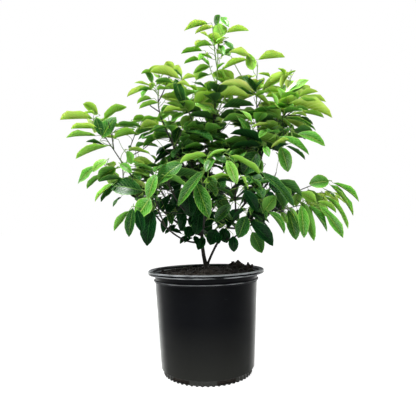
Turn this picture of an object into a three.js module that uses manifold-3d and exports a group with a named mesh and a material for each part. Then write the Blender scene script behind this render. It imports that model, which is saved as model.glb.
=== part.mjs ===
// A young calamondin orange tree in a round nursery pot, in millimetres, +Z up.
// The origin is the middle of the pot's flat underside. The front faces -Y, with +X on the right.
// The pot, the soil, the trunk, each bough and each mass of foliage is one closed solid.
import * as THREE from "three";
import { mergeVertices } from "three/addons/utils/BufferGeometryUtils.js";
import Module from "manifold-3d";

const wasm = await Module();
wasm.setup();

// ---- driving sizes ----
const CLEAR = 0.3; // gap between pieces that touch on the real plant
const MERGE = 0.01; // points of a joined solid closer than this become one
const FULL_TURN = 2 * Math.PI;

const POT = {
  height: 235,
  rimRadius: 136, // outer edge of the rolled lip
  lipHeight: 9,
  lipWidth: 9,
  lipRound: 2, // how far the lip's edges are rounded
  neckRadius: 122,
  beadRadius: 122.5, // the raised ring under the neck
  beadTop: 214,
  beadHeight: 3, // of its face, and of the slope under it
  shoulderRadius: 119.5,
  footRadius: 107,
  heelRadius: 102.5, // the wall steps in here, close to the ground
  heelHeight: 12,
  heelStep: 2,
  wall: 2.5,
  floor: 3,
  sides: 32,
};
const DRAIN = {
  count: 6,
  width: 44,
  height: 8,
  depth: 12,
  turn: 0.9, // where the first slot stands, as a share of the step from slot to slot
};
const SOIL = {
  level: 228,
  edge: 4, // how far it falls away beside the wall
  brow: 60, // radius of the low rise round the trunk
  browRise: 1,
  mound: 8, // height of that rise at the trunk
  flat: 18, // radius of its flat top
  sides: 16,
};

const TRUNK = {
  foot: 5, // how far right of the pot's middle it stands
  sunk: 8, // where its curve starts, under the soil that it is cut off level with
};

const LEAF = {
  length: 77, // blade and leaf stalk together
  spread: [0.82, 1.16], // of the length, from leaf to leaf
  tipSize: 0.75, // of the two young leaves that end a shoot
  width: 0.5, // as a share of the length
  tipWidth: 0.86, // of the outer corners, as a share of the width
  shift: 0.11, // how much further out the widest part lies than a quarter of the length
  thickness: 0.9,
  fold: 0.3, // how far the margins stand above the midrib, as a share of the half width
  arch: 0.16, // how far the tip sinks, as a share of the length
};
const ROOT_SHARE = 0.05; // of a leaf's length, next to its twig, where it may meet the leaves beside it
const GOLDEN_ANGLE = 2.39996; // between one leaf and the next up the shoot
const TRIES = [0, 0.8, -0.8, 1.6, -1.6, 2.4]; // turns a leaf may shift by to find room
const STAND = {
  firstOnStem: 0.12,
  firstOnSide: 0.22,
  end: 0.99, // the share of a shoot where its last leaf stands
  lowLean: 78, // from the shoot, in degrees, for its lowest leaf
  highLean: 52,
  lastLean: 20, // for the leaf that ends the shoot
  sink: 0.72, // how fully a leaf takes up the droop of its height
  faceTilt: 0.5, // how far the face leans out from straight up
  turnSpread: 0.3, // the random part of a leaf's turn about its shoot, in radians
  rollSpread: 0.35, // of its roll about its own midrib
  fallSpread: 0.3, // of its droop
};
const SHOOT = {
  lead: 0.45, // how far the stem keeps to its limb's direction, as a share of its reach
  turnOff: 0.75, // how sharply a stem turns towards its tip where it leaves the side of a limb
  firstFork: 0.2,
  forkStep: 0.2, // from one side shoot to the next, as a share of the stem
  forkAngle: 48,
  sideLength: 0.62, // of a side shoot, as a share of the stem
  sideSpread: [0.85, 1.15],
};
const TWIG = { foot: 1.5, tip: 0.7, sides: 3, steps: 3 };

// ---- limbs ----
// Each leaves another limb at a share of its length and ends at `tip`. `foot` is its radius where it leaves,
// and `end` its radius at the tip. Where `bend` is not given, the limb sets out low and rises to its tip.
const LIMBS = {
  trunk: { bend: [-22, 0, 300], tip: [8, 0, 430], foot: 4.8, end: 3.4, sides: 12 },
  right_stem: { from: ["trunk", 0.07], bend: [30, 0, 318], tip: [122, 0, 416], foot: 3, end: 2.4 },
  right_bough: { from: ["right_stem", 1], bend: [130, 0, 500], tip: [178, 0, 588], foot: 2.4 },
  leader_bough: { from: ["trunk", 1], tip: [33, 0, 650], foot: 3.1 },
  upper_left_bough: { from: ["trunk", 0.9], tip: [-92, -50, 578], foot: 2.6 },
  upper_centre_bough: { from: ["trunk", 0.97], tip: [-22, -10, 562], foot: 2.4 },
  left_bough: { from: ["trunk", 0.5], tip: [-198, -10, 498], foot: 2.9 },
  left_flank_bough: { from: ["left_bough", 0.55], tip: [-172, -55, 425], foot: 2 },
  low_left_bough: { from: ["trunk", 0.42], tip: [-105, -85, 360], foot: 2.4 },
  front_left_bough: { from: ["trunk", 0.68], tip: [-68, -105, 410], foot: 2.2 },
  centre_left_bough: { from: ["trunk", 0.8], tip: [-58, -35, 480], foot: 2.4 },
  front_centre_bough: { from: ["trunk", 0.56], tip: [2, -130, 385], foot: 2.4 },
  spire_bough: { from: ["right_bough", 0.45], tip: [132, 0, 590], foot: 2 },
  right_shoulder_bough: { from: ["right_bough", 0.6], tip: [192, -60, 546], foot: 1.9 },
  right_flank_bough: { from: ["right_bough", 0.1], tip: [142, -80, 430], foot: 1.9 },
  spray_bough: { from: ["right_stem", 0.55], tip: [166, -30, 376], foot: 2.3 },
  low_right_bough: { from: ["right_stem", 0.42], tip: [90, -95, 340], foot: 1.9 },
  front_right_bough: { from: ["right_stem", 0.7], tip: [66, -120, 410], foot: 2 },
  centre_right_bough: { from: ["right_stem", 0.85], tip: [98, -20, 490], foot: 2.1 },
  back_left_high_bough: { from: ["trunk", 0.86], tip: [-75, 95, 560], foot: 2.5 },
  back_left_bough: { from: ["trunk", 0.62], tip: [-120, 90, 440], foot: 2.5 },
  back_top_bough: { from: ["trunk", 0.94], tip: [28, 75, 600], foot: 2.5 },
  back_centre_bough: { from: ["trunk", 0.74], tip: [8, 120, 420], foot: 2.3 },
  back_right_high_bough: { from: ["right_bough", 0.25], tip: [145, 90, 560], foot: 2.1 },
  back_right_bough: { from: ["right_stem", 0.9], tip: [175, 95, 440], foot: 2.2 },
};
const LIMB = {
  end: 1.7,
  sides: 4,
  steps: 5,
  sag: 0.3, // how far the middle hangs under the straight line, as a share of the sideways reach
  flare: 3, // added to the trunk's radius at the soil, where the roots start
  flareFade: 14,
  endOn: 0.85, // limbs that run front to back more than this are squared up from the side instead
};

// ---- masses of foliage ----
// Each grows on its limb's tip, or `at` a share of the limb's length. `tip` is the end of its stem, `leaves`
// the number of its leaves, and `seed` starts its own random numbers.
const MASSES = {
  crown_top: { on: "leader_bough", tip: [42, 0, 820], leaves: 21, seed: 3 },
  right_spire: { on: "spire_bough", tip: [140, 0, 752], leaves: 19, seed: 15 },
  upper_left: { on: "upper_left_bough", tip: [-84, -65, 694], leaves: 20, seed: 20 },
  upper_centre: { on: "upper_centre_bough", tip: [-56, -40, 692], leaves: 17, seed: 30 },
  centre_top: { on: "leader_bough", at: 0.7, tip: [78, 50, 703], leaves: 12, seed: 85 },
  far_left: { on: "left_bough", tip: [-276, -40, 624], leaves: 19, seed: 43 },
  left_shoulder: { on: "left_bough", at: 0.93, tip: [-150, 75, 625], leaves: 13, seed: 7 },
  left_flank: { on: "left_flank_bough", tip: [-238, -45, 490], leaves: 17, seed: 60 },
  low_left: { on: "low_left_bough", tip: [-160, -80, 415], leaves: 11, seed: 68 },
  low_left_front: { on: "low_left_bough", at: 0.8, tip: [-105, -150, 420], leaves: 10, seed: 76 },
  low_left_inner: { on: "trunk", at: 0.5, tip: [-100, -25, 398], leaves: 11, seed: 87 },
  front_left: { on: "front_left_bough", tip: [-86, -150, 488], leaves: 12, seed: 89 },
  centre_left: { on: "centre_left_bough", tip: [-70, -65, 575], leaves: 19, seed: 93 },
  centre: { on: "trunk", at: 0.92, tip: [2, -85, 575], leaves: 17, seed: 94 },
  front_centre: { on: "front_centre_bough", tip: [-5, -190, 425], leaves: 11, seed: 95 },
  low_centre: { on: "front_centre_bough", at: 0.6, tip: [50, -115, 408], leaves: 8, seed: 123 },
  front_right: { on: "front_right_bough", tip: [62, -175, 480], leaves: 13, seed: 97 },
  centre_right: { on: "centre_right_bough", tip: [122, -60, 565], leaves: 17, seed: 98 },
  low_right_inner: { on: "right_stem", at: 0.6, tip: [68, -40, 352], leaves: 7, seed: 19 },
  low_right: { on: "low_right_bough", tip: [106, -140, 376], leaves: 11, seed: 140 },
  spray_upper: { on: "spray_bough", tip: [327, -20, 438], leaves: 19, seed: 165 },
  spray_lower: { on: "spray_bough", at: 0.85, tip: [272, -45, 386], leaves: 16, seed: 161 },
  right_flank: { on: "right_flank_bough", tip: [150, -130, 392], leaves: 10, seed: 179 },
  right_top: { on: "right_bough", tip: [230, 60, 722], leaves: 13, seed: 190 },
  far_right: { on: "right_bough", at: 0.92, tip: [257, -40, 624], leaves: 19, seed: 194 },
  right_shoulder: { on: "right_shoulder_bough", tip: [224, -90, 558], leaves: 16, seed: 203 },
  back_left_high: { on: "back_left_high_bough", tip: [-100, 150, 655], leaves: 11, seed: 27 },
  back_left: { on: "back_left_bough", tip: [-185, 170, 490], leaves: 11, seed: 28 },
  back_top: { on: "back_top_bough", tip: [30, 120, 715], leaves: 11, seed: 29 },
  back_centre: { on: "back_centre_bough", tip: [0, 210, 480], leaves: 11, seed: 30 },
  back_low: { on: "back_centre_bough", at: 0.5, tip: [-45, 125, 375], leaves: 11, seed: 33 },
  back_right_high: { on: "back_right_high_bough", tip: [165, 145, 650], leaves: 10, seed: 31 },
  back_right: { on: "back_right_bough", tip: [215, 165, 490], leaves: 11, seed: 32 },
};
const LEAVES_A_SHOOT = 9;
// Leaves stand level above one height and hang below another. The top of the crown is its young growth.
const DROOP = { lowAt: 340, low: 62, highAt: 680, high: 5 };
const AGE = { youngAbove: 600, oldBelow: 400 };

// ---- materials ----
const finish = (color, roughness) =>
  new THREE.MeshStandardMaterial({ color, roughness, metalness: 0 });
const materials = {
  pot: finish(0x14171a, 0.45),
  soil: finish(0x1d140e, 0.95),
  bark: finish(0x2c261c, 0.85),
  young: finish(0x9cc63a, 0.45),
  grown: finish(0x3f8a2a, 0.4),
  old: finish(0x17401d, 0.35),
};

function leafMaterial({ tip: [, , height] }) {
  if (height > AGE.youngAbove) return materials.young;
  return height < AGE.oldBelow ? materials.old : materials.grown;
}

// ---- solids ----
function solidOf(geometry) {
  const bare = geometry.clone();
  bare.deleteAttribute("normal");
  bare.deleteAttribute("uv");
  const merged = mergeVertices(bare, 1e-4);
  return new wasm.Manifold(
    new wasm.Mesh({
      numProp: 3,
      vertProperties: Float32Array.from(merged.attributes.position.array),
      triVerts: Uint32Array.from(merged.index.array),
    }),
  );
}

function geometryOf(solid) {
  const mesh = solid.getMesh();
  return new THREE.BufferGeometry()
    .setAttribute("position", new THREE.BufferAttribute(mesh.vertProperties, 3))
    .setIndex(new THREE.BufferAttribute(mesh.triVerts, 1));
}

function largestBody(solid) {
  return solid.decompose().reduce((best, body) => (body.volume() > best.volume() ? body : best));
}

const touches = (a, b) => !a.intersect(b).isEmpty();

// ---- the seeded rule ----
// Even random numbers between two limits, always the same ones for the same seed.
const DICE = { start: 7919, factor: 1664525, step: 1013904223, range: 2 ** 32 };
function dice(seed) {
  let state = seed * DICE.start;
  return (low, high) => {
    state = (state * DICE.factor + DICE.step) % DICE.range;
    return mix(low, high, state / DICE.range);
  };
}

const UP = new THREE.Vector3(0, 0, 1);
const point = (xyz) => new THREE.Vector3(...xyz);
const mix = (a, b, share) => a + (b - a) * share;
const degrees = THREE.MathUtils.degToRad;

// Turns a unit cylinder into a tapering limb along a curve.
function limbSolid(curve, radiusAt, sides, steps) {
  const geometry = new THREE.CylinderGeometry(1, 1, 1, sides, steps);
  const place = geometry.attributes.position;
  const alongY = Math.abs(curve.getTangent(0.5).y) > LIMB.endOn;
  const side = alongY ? new THREE.Vector3(1, 0, 0) : new THREE.Vector3(0, 1, 0);
  for (let i = 0; i < place.count; i++) {
    const share = 0.5 - place.getY(i);
    const along = curve.getTangent(share);
    const across = side.clone().addScaledVector(along, -side.dot(along)).normalize();
    const third = new THREE.Vector3().crossVectors(along, across);
    const spot = curve.getPoint(share);
    spot.addScaledVector(across, place.getX(i) * radiusAt(share));
    spot.addScaledVector(third, place.getZ(i) * radiusAt(share));
    place.setXYZ(i, spot.x, spot.y, spot.z);
  }
  return solidOf(geometry);
}

// ---- trunk and boughs ----
const soilTop = SOIL.level + SOIL.mound;
const curves = {};
const limbs = {};
const sleeves = {}; // each limb with the clearance round it, which nothing else enters
const groundBox = new THREE.BoxGeometry(2 * SOIL.flat, 2 * SOIL.flat, SOIL.level);
const ground = solidOf(groundBox.translate(0, 0, soilTop + CLEAR - SOIL.level / 2));

function limbCurve(limb) {
  const tip = point(limb.tip);
  const start = limb.from
    ? curves[limb.from[0]].getPoint(limb.from[1])
    : new THREE.Vector3(TRUNK.foot, 0, soilTop - TRUNK.sunk);
  const sag = Math.hypot(tip.x - start.x, tip.y - start.y) * LIMB.sag;
  const bend = limb.bend ? point(limb.bend) : start.clone().lerp(tip, 0.5).addScaledVector(UP, -sag);
  return new THREE.QuadraticBezierCurve3(start, bend, tip);
}

// The same curve carried on a little past both ends, for the clearance round a limb.
function carriedOn(curve, reach) {
  const over = reach / curve.getLength();
  return {
    getPoint: (t) => curve.getPoint(mix(-over, 1 + over, t)),
    getTangent: (t) => curve.getTangent(t),
  };
}

function growLimb(name, limb) {
  const curve = limbCurve(limb);
  const sides = limb.sides ?? LIMB.sides;
  const flare = limb.from ? 0 : LIMB.flare;
  const radiusAt = (share) =>
    mix(limb.foot, limb.end ?? LIMB.end, share) + flare * Math.exp(-share * LIMB.flareFade);
  let solid = limbSolid(curve, radiusAt, sides, LIMB.steps).subtract(ground);
  for (const sleeve of Object.values(sleeves)) {
    if (touches(solid, sleeve)) solid = largestBody(solid.subtract(sleeve));
  }
  curves[name] = curve;
  limbs[name] = solid;
  sleeves[name] = limbSolid(carriedOn(curve, CLEAR), (t) => radiusAt(t) + CLEAR, sides, LIMB.steps);
}

// ---- foliage ----
// One leaf: a thin six-cornered blade, folded along its midrib and arched, from the middle of its twig.
// For the tests of what it would touch, `start` leaves off the end by the twig and `extra` thickens it.
function leafSolid(leaf, extra = 0, start = 0) {
  const geometry = new THREE.SphereGeometry(1, 6, 2);
  const place = geometry.attributes.position;
  const halfWidth = (leaf.length * LEAF.width) / 2;
  for (let i = 0; i < place.count; i++) {
    const even = (place.getX(i) + 1) / 2;
    const share = mix(start, 1, even + LEAF.shift * Math.sin(Math.PI * Math.min(1, even * 2)));
    const taper = even < 0.5 ? 1 : LEAF.tipWidth;
    const across = (place.getZ(i) / Math.sin(Math.PI / 3)) * halfWidth * taper;
    const lift =
      place.getY(i) * (LEAF.thickness / 2 + extra) +
      Math.abs(across) * LEAF.fold -
      share * share * leaf.length * LEAF.arch;
    const spot = leaf.root
      .clone()
      .addScaledVector(leaf.along, share * leaf.length)
      .addScaledVector(leaf.side, across)
      .addScaledVector(leaf.face, lift);
    place.setXYZ(i, spot.x, spot.y, spot.z);
  }
  return solidOf(geometry);
}

// Unit vectors across an axis, at any turn about it.
function acrossAxis(axis, turn) {
  const reference = Math.abs(axis.z) < 0.9 ? UP : new THREE.Vector3(0, 1, 0);
  const first = new THREE.Vector3().crossVectors(axis, reference).normalize();
  const second = new THREE.Vector3().crossVectors(axis, first);
  return first.multiplyScalar(Math.cos(turn)).addScaledVector(second, Math.sin(turn));
}

// The point at a share of a twig, which runs straight from step to step.
function onTwig(curve, share) {
  const step = Math.floor(share * TWIG.steps);
  const next = curve.getPoint((step + 1) / TWIG.steps);
  return curve.getPoint(step / TWIG.steps).lerp(next, share * TWIG.steps - step);
}

// The direction that leans out from an axis by an angle, at a turn about it.
function leaning(axis, turn, angle) {
  const out = acrossAxis(axis, turn);
  return axis.clone().multiplyScalar(Math.cos(angle)).addScaledVector(out, Math.sin(angle));
}

// The stem of a mass bends from its limb's direction to its tip.
function stemCurve(mass) {
  const tip = point(mass.tip);
  const at = mass.at ?? 1;
  const foot = curves[mass.on].getPoint(at);
  const lead = curves[mass.on].getTangent(at);
  if (at < 1) lead.lerp(tip.clone().sub(foot).normalize(), SHOOT.turnOff).normalize();
  const bend = foot.clone().addScaledVector(lead, foot.distanceTo(tip) * SHOOT.lead);
  return new THREE.QuadraticBezierCurve3(foot, bend, tip);
}

// A side shoot forks from its stem and then bends back along it.
function sideCurve(stem, share, turn, reach) {
  const axis = stem.getTangent(share);
  const heading = leaning(axis, turn, degrees(SHOOT.forkAngle));
  const start = onTwig(stem, share);
  const elbow = start.clone().addScaledVector(heading, reach / 2);
  const end = elbow.clone().addScaledVector(heading.add(axis).normalize(), reach / 2);
  return new THREE.QuadraticBezierCurve3(start, elbow, end);
}

function shootCurves(mass, roll) {
  const stem = stemCurve(mass);
  const shoots = [stem];
  let turn = roll(0, FULL_TURN);
  for (let i = 1; i < Math.ceil(mass.leaves / LEAVES_A_SHOOT); i++) {
    turn += GOLDEN_ANGLE;
    const reach = stem.getLength() * SHOOT.sideLength * roll(...SHOOT.sideSpread);
    shoots.push(sideCurve(stem, SHOOT.firstFork + SHOOT.forkStep * (i - 1), turn, reach));
  }
  return shoots;
}

function droopAt(height) {
  const share = THREE.MathUtils.clamp((height - DROOP.lowAt) / (DROOP.highAt - DROOP.lowAt), 0, 1);
  return degrees(mix(DROOP.low, DROOP.high, share));
}

// Where one leaf stands: it leans out from its shoot, the more so low on it, and sinks towards the droop of
// its height. The face is turned to the sky and rolled a little.
function leafAt(curve, share, turn, roll, last) {
  const root = onTwig(curve, share);
  const lean = degrees(last ? STAND.lastLean : mix(STAND.lowLean, STAND.highLean, share));
  const along = leaning(curve.getTangent(share), turn, lean);
  const level = new THREE.Vector3(along.x, along.y, 0).normalize();
  const faceRoll = roll(-STAND.rollSpread, STAND.rollSpread);
  const fall = roll(-STAND.fallSpread, STAND.fallSpread);
  const rise = mix(Math.asin(along.z), -droopAt(root.z), STAND.sink) + fall;
  along.copy(level).multiplyScalar(Math.cos(rise)).addScaledVector(UP, Math.sin(rise));
  const face = UP.clone().addScaledVector(level, STAND.faceTilt);
  face.addScaledVector(along, -face.dot(along)).normalize().applyAxisAngle(along, faceRoll);
  return { root, along, face, side: new THREE.Vector3().crossVectors(along, face) };
}

function twigSolid(curve, extra = 0) {
  const radiusAt = (share) => mix(TWIG.foot, TWIG.tip, share) + extra;
  return limbSolid(curve, radiusAt, TWIG.sides, TWIG.steps);
}

// The bare shoots of a mass, and the sleeve round them that no leaf of another mass enters.
const shootsOf = {};
function growShoots(name, mass) {
  const roll = dice(mass.seed);
  const shoots = shootCurves(mass, roll);
  const sleeve = wasm.Manifold.union(shoots.map((shoot) => twigSolid(shoot, CLEAR)));
  shootsOf[name] = { roll, shoots, sleeve };
}

// A leaf keeps clear of every limb and of the other masses, and past its root of its own mass too. It shifts
// round its shoot to find room, and is left out where there is none.
function leafWithRoom(stands, neighbours, pieces) {
  return stands.find((leaf) => {
    const blade = leafSolid(leaf, CLEAR);
    const outer = leafSolid(leaf, CLEAR, ROOT_SHARE);
    if (neighbours.some((other) => touches(blade, other))) return false;
    return !pieces.some((other) => touches(outer, other));
  });
}

// The leaves of one shoot, in turn from its foot to its tip.
function growLeaves(shoot, first, count, roll, neighbours, pieces) {
  let turn = roll(0, FULL_TURN);
  for (let i = 0; i < count; i++) {
    const share = mix(first, STAND.end, (i + 0.5) / (count - 0.5));
    const size = i >= count - 2 ? LEAF.tipSize : 1;
    const length = LEAF.length * roll(...LEAF.spread) * size;
    turn += GOLDEN_ANGLE + roll(-STAND.turnSpread, STAND.turnSpread);
    const stands = TRIES.map((shift) => ({
      ...leafAt(shoot, share, turn + shift, roll, i === count - 1),
      length,
    }));
    const leaf = leafWithRoom(stands, neighbours, pieces);
    if (leaf) pieces.push(leafSolid(leaf));
  }
}

const foliage = {};
function neighboursOf(name) {
  const others = Object.keys(MASSES).filter((other) => other !== name);
  const masses = others.map((other) => foliage[other] ?? shootsOf[other].sleeve);
  return [pot, ...Object.values(sleeves), ...masses];
}

function growMass(name, mass) {
  const { roll, shoots } = shootsOf[name];
  const total = shoots.reduce((sum, shoot) => sum + shoot.getLength(), 0);
  const neighbours = neighboursOf(name);
  const pieces = shoots.map((shoot) => twigSolid(shoot));
  shoots.forEach((shoot, index) => {
    const count = Math.round((mass.leaves * shoot.getLength()) / total);
    const first = index === 0 ? STAND.firstOnStem : STAND.firstOnSide;
    growLeaves(shoot, first, count, roll, neighbours, pieces);
  });
  const clear = neighbours.reduce(
    (solid, other) => (touches(solid, other) ? solid.subtract(other) : solid),
    wasm.Manifold.union(pieces),
  );
  return largestBody(clear.simplify(MERGE));
}

// ---- pot and soil ----
function turned(profile, sides) {
  const geometry = new THREE.LatheGeometry(
    profile.map(([radius, height]) => new THREE.Vector2(radius, height)),
    sides,
  );
  return geometry.rotateX(Math.PI / 2);
}

const wallAt = (height) => mix(POT.footRadius, POT.shoulderRadius, height / POT.beadTop);

function potOutside() {
  const lipBottom = POT.height - POT.lipHeight;
  const slopeFoot = POT.beadTop - 2 * POT.beadHeight;
  return [
    [0, 0],
    [POT.heelRadius, 0],
    [POT.heelRadius, POT.heelHeight],
    [wallAt(POT.heelHeight), POT.heelHeight + POT.heelStep],
    [wallAt(slopeFoot), slopeFoot],
    [POT.beadRadius, POT.beadTop - POT.beadHeight],
    [POT.beadRadius, POT.beadTop],
    [POT.neckRadius, lipBottom - POT.lipRound],
    [POT.rimRadius - POT.lipRound, lipBottom],
    [POT.rimRadius, POT.height - POT.lipHeight / 2],
    [POT.rimRadius - POT.lipRound, POT.height],
  ];
}

function potInside() {
  const neck = POT.neckRadius - POT.wall;
  const slopeFoot = POT.beadTop - 2 * POT.beadHeight;
  return [
    [POT.rimRadius - POT.lipWidth, POT.height],
    [neck, POT.height - POT.lipHeight],
    [neck, POT.beadTop],
    [wallAt(slopeFoot) - POT.wall, slopeFoot],
    [wallAt(POT.heelHeight) - POT.wall, POT.heelHeight + POT.heelStep],
    [POT.heelRadius - POT.wall, POT.heelHeight],
    [POT.heelRadius - POT.wall, POT.floor],
    [0, POT.floor],
  ];
}

function potSolid() {
  let pot = solidOf(turned([...potOutside(), ...potInside()], POT.sides));
  for (let i = 0; i < DRAIN.count; i++) {
    const cutter = new THREE.BoxGeometry(DRAIN.depth, DRAIN.width, DRAIN.height);
    cutter.translate(POT.heelRadius, 0, POT.floor + DRAIN.height / 2);
    cutter.rotateZ(((i + DRAIN.turn) * FULL_TURN) / DRAIN.count);
    pot = pot.subtract(solidOf(cutter));
  }
  return pot;
}

function soilSolid() {
  const inner = (height) => wallAt(height) - POT.wall - CLEAR;
  const heel = POT.heelRadius - POT.wall - CLEAR;
  const heelTop = POT.heelHeight + POT.heelStep;
  const slopeFoot = POT.beadTop - 2 * POT.beadHeight;
  const profile = [
    [0, POT.floor + CLEAR],
    [heel, POT.floor + CLEAR],
    [heel, heelTop],
    [inner(POT.heelHeight), heelTop + POT.heelStep],
    [inner(slopeFoot), slopeFoot],
    [inner(POT.beadTop), SOIL.level - SOIL.edge],
    [inner(POT.beadTop) - SOIL.edge, SOIL.level],
    [SOIL.brow, SOIL.level + SOIL.browRise],
    [SOIL.flat, soilTop],
    [0, soilTop],
  ];
  return solidOf(turned(profile, SOIL.sides));
}

// ---- assembly ----
const tree = new THREE.Group();
function add(name, solid, material) {
  const mesh = new THREE.Mesh(geometryOf(solid), material);
  mesh.name = name;
  tree.add(mesh);
}

const pot = potSolid();
add("pot", pot, materials.pot);
add("soil", soilSolid(), materials.soil);
for (const [name, limb] of Object.entries(LIMBS)) {
  growLimb(name, limb);
  add(name, limbs[name], materials.bark);
}
for (const [name, mass] of Object.entries(MASSES)) growShoots(name, mass);
for (const [name, mass] of Object.entries(MASSES)) {
  foliage[name] = growMass(name, mass);
  add(name, foliage[name], leafMaterial(mass));
}

export default tree;
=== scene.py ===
import math

import bmesh
import bpy
import numpy as np
from mathutils import Matrix, Vector, noise


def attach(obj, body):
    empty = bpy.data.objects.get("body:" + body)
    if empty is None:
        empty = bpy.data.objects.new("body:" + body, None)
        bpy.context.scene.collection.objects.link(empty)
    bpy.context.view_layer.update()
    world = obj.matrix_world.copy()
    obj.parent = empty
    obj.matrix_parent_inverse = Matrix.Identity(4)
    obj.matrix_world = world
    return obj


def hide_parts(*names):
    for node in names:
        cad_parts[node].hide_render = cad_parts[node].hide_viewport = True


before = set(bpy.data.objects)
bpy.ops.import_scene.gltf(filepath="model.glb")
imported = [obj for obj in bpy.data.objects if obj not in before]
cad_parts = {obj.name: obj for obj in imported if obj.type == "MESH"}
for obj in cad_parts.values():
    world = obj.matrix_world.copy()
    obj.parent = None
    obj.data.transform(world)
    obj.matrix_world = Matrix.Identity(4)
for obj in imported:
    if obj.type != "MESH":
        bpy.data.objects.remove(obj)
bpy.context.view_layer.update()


# ---- pot shell ----
# The nursery pot is blow-moulded from thin black polyethylene: a rolled lip, a raised ring under the
# neck, a straight tapering wall, and a fluted heel with six drain slots that lets it stand flat.
POT_HEIGHT = 0.235
RIM_RADIUS = 0.136
LIP_HEIGHT = 0.009
NECK_RADIUS = 0.122
BEAD_RADIUS = 0.1225
BEAD_TOP = 0.214
BEAD_HEIGHT = 0.003
SHOULDER_RADIUS = 0.1195
FOOT_RADIUS = 0.107
HEEL_RADIUS = 0.1025
HEEL_HEIGHT = 0.012
HEEL_STEP = 0.002
WALL = 0.0025
POT_FLOOR = 0.003
FLUTES = 54
FLUTE_DEPTH = 0.0020
FLUTE_LIFT = 0.0030
STEPS_A_FLUTE = 6
SLOTS = 6
SLOT_WIDTH = 0.044
SLOT_TOP = 0.011
SLOT_TURN = 0.9
PALE_FOOT_HEIGHT = 0.13
FULL_TURN = 2 * math.pi
MERGE = 1e-6


def wall_at(height):
    return FOOT_RADIUS + (SHOULDER_RADIUS - FOOT_RADIUS) * height / BEAD_TOP


def paint(red, green, blue):
    """The linear colour a shader takes for a display colour given in steps of 255."""
    parts = (c / 255 for c in (red, green, blue))
    return (*(((c + 0.055) / 1.055) ** 2.4 if c > 0.04 else c / 12.92 for c in parts), 1.0)


def spun(profile, steps):
    """A profile of radius and height, from axis to axis, turned all the way round."""
    bm = bmesh.new()
    points = [bm.verts.new((radius, 0, height)) for radius, height in profile]
    edges = [bm.edges.new(pair) for pair in zip(points, points[1:])]
    whole = {"geom": points + edges, "cent": (0, 0, 0), "axis": (0, 0, 1), "angle": FULL_TURN}
    bmesh.ops.spin(bm, **whole, steps=steps, use_merge=True)
    bmesh.ops.remove_doubles(bm, verts=bm.verts, dist=MERGE)
    bmesh.ops.recalc_face_normals(bm, faces=bm.faces)
    return bm


def mesh_of(name, bm):
    """The mesh of a finished bmesh."""
    mesh = bpy.data.meshes.new(name)
    bm.to_mesh(mesh)
    bm.free()
    return mesh


def put(mesh, sharp_angle):
    """A smooth-shaded piece of the object, named like its mesh, that rides on the one body."""
    mesh.shade_smooth()
    mesh.set_sharp_from_angle(angle=math.radians(sharp_angle))
    piece = bpy.data.objects.new(mesh.name, mesh)
    bpy.context.scene.collection.objects.link(piece)
    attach(piece, "root")
    return piece


class Look:
    """The nodes of one material, group or world, and the links between them."""

    def __init__(self, tree):
        self.tree = tree

    def feed(self, value, socket):
        """Gives a socket a value, or links it to the socket that feeds it."""
        if isinstance(value, bpy.types.NodeSocket):
            self.tree.links.new(value, socket)
        else:
            socket.default_value = value

    def node(self, kind, settings=None, **inputs):
        """Makes a node; its inputs go by name, or by place as i0, i1 and so on."""
        made = self.tree.nodes.new("ShaderNode" + kind)
        for key, value in (settings or {}).items():
            setattr(made, key, value)
        for key, value in inputs.items():
            self.feed(value, made.inputs[int(key[1:])] if key[1:].isdigit() else made.inputs[key])
        return made

    def place(self):
        """Where a point is on the object."""
        return self.node("TexCoord").outputs["Object"]

    def axis(self, vector, name):
        """One of the three numbers of a vector."""
        return self.node("SeparateXYZ", Vector=vector).outputs[name]

    def mixed(self, share, first, second):
        """A colour between two, by a share that changes over the surface."""
        return self.node("Mix", {"data_type": "RGBA"}, i0=share, i6=first, i7=second).outputs[2]

    def between(self, value, low, high, to_low=0.0, to_high=1.0):
        """A value brought from one range to another and kept inside it."""
        return self.node("MapRange", i0=value, i1=low, i2=high, i3=to_low, i4=to_high).outputs[0]

    def maths(self, operation, *values):
        """A number worked out from one, two or three others."""
        inputs = {f"i{index}": value for index, value in enumerate(values)}
        return self.node("Math", {"operation": operation}, **inputs).outputs[0]

    def clouds(self, scale, detail, roughness=0.5):
        """Cloudy noise over the object; a scale of three numbers draws it out along the axes."""
        place = self.place()
        if isinstance(scale, tuple):
            place = self.node("Mapping", Vector=place, Scale=scale).outputs["Vector"]
            scale = 1.0
        made = self.node("TexNoise", Vector=place, Scale=scale, Detail=detail, Roughness=roughness)
        return made.outputs["Fac"]

    def surface(self, colour, roughness, *reliefs):
        """Feeds the shader its colour, its roughness and each relief: strength, depth and height."""
        shader = self.tree.nodes["Principled BSDF"].inputs
        self.feed(colour, shader["Base Color"])
        self.feed(roughness, shader["Roughness"])
        normal = {}
        for strength, depth, height in reliefs:
            bump = self.node("Bump", i0=strength, i1=depth, Height=height, **normal)
            normal = {"Normal": bump.outputs["Normal"]}
        self.feed(normal["Normal"], shader["Normal"])
        return shader


def new_look(name):
    """An empty material and the maker of its nodes."""
    material = bpy.data.materials.new(name)
    material.use_nodes = True
    return material, Look(material.node_tree)


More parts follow.
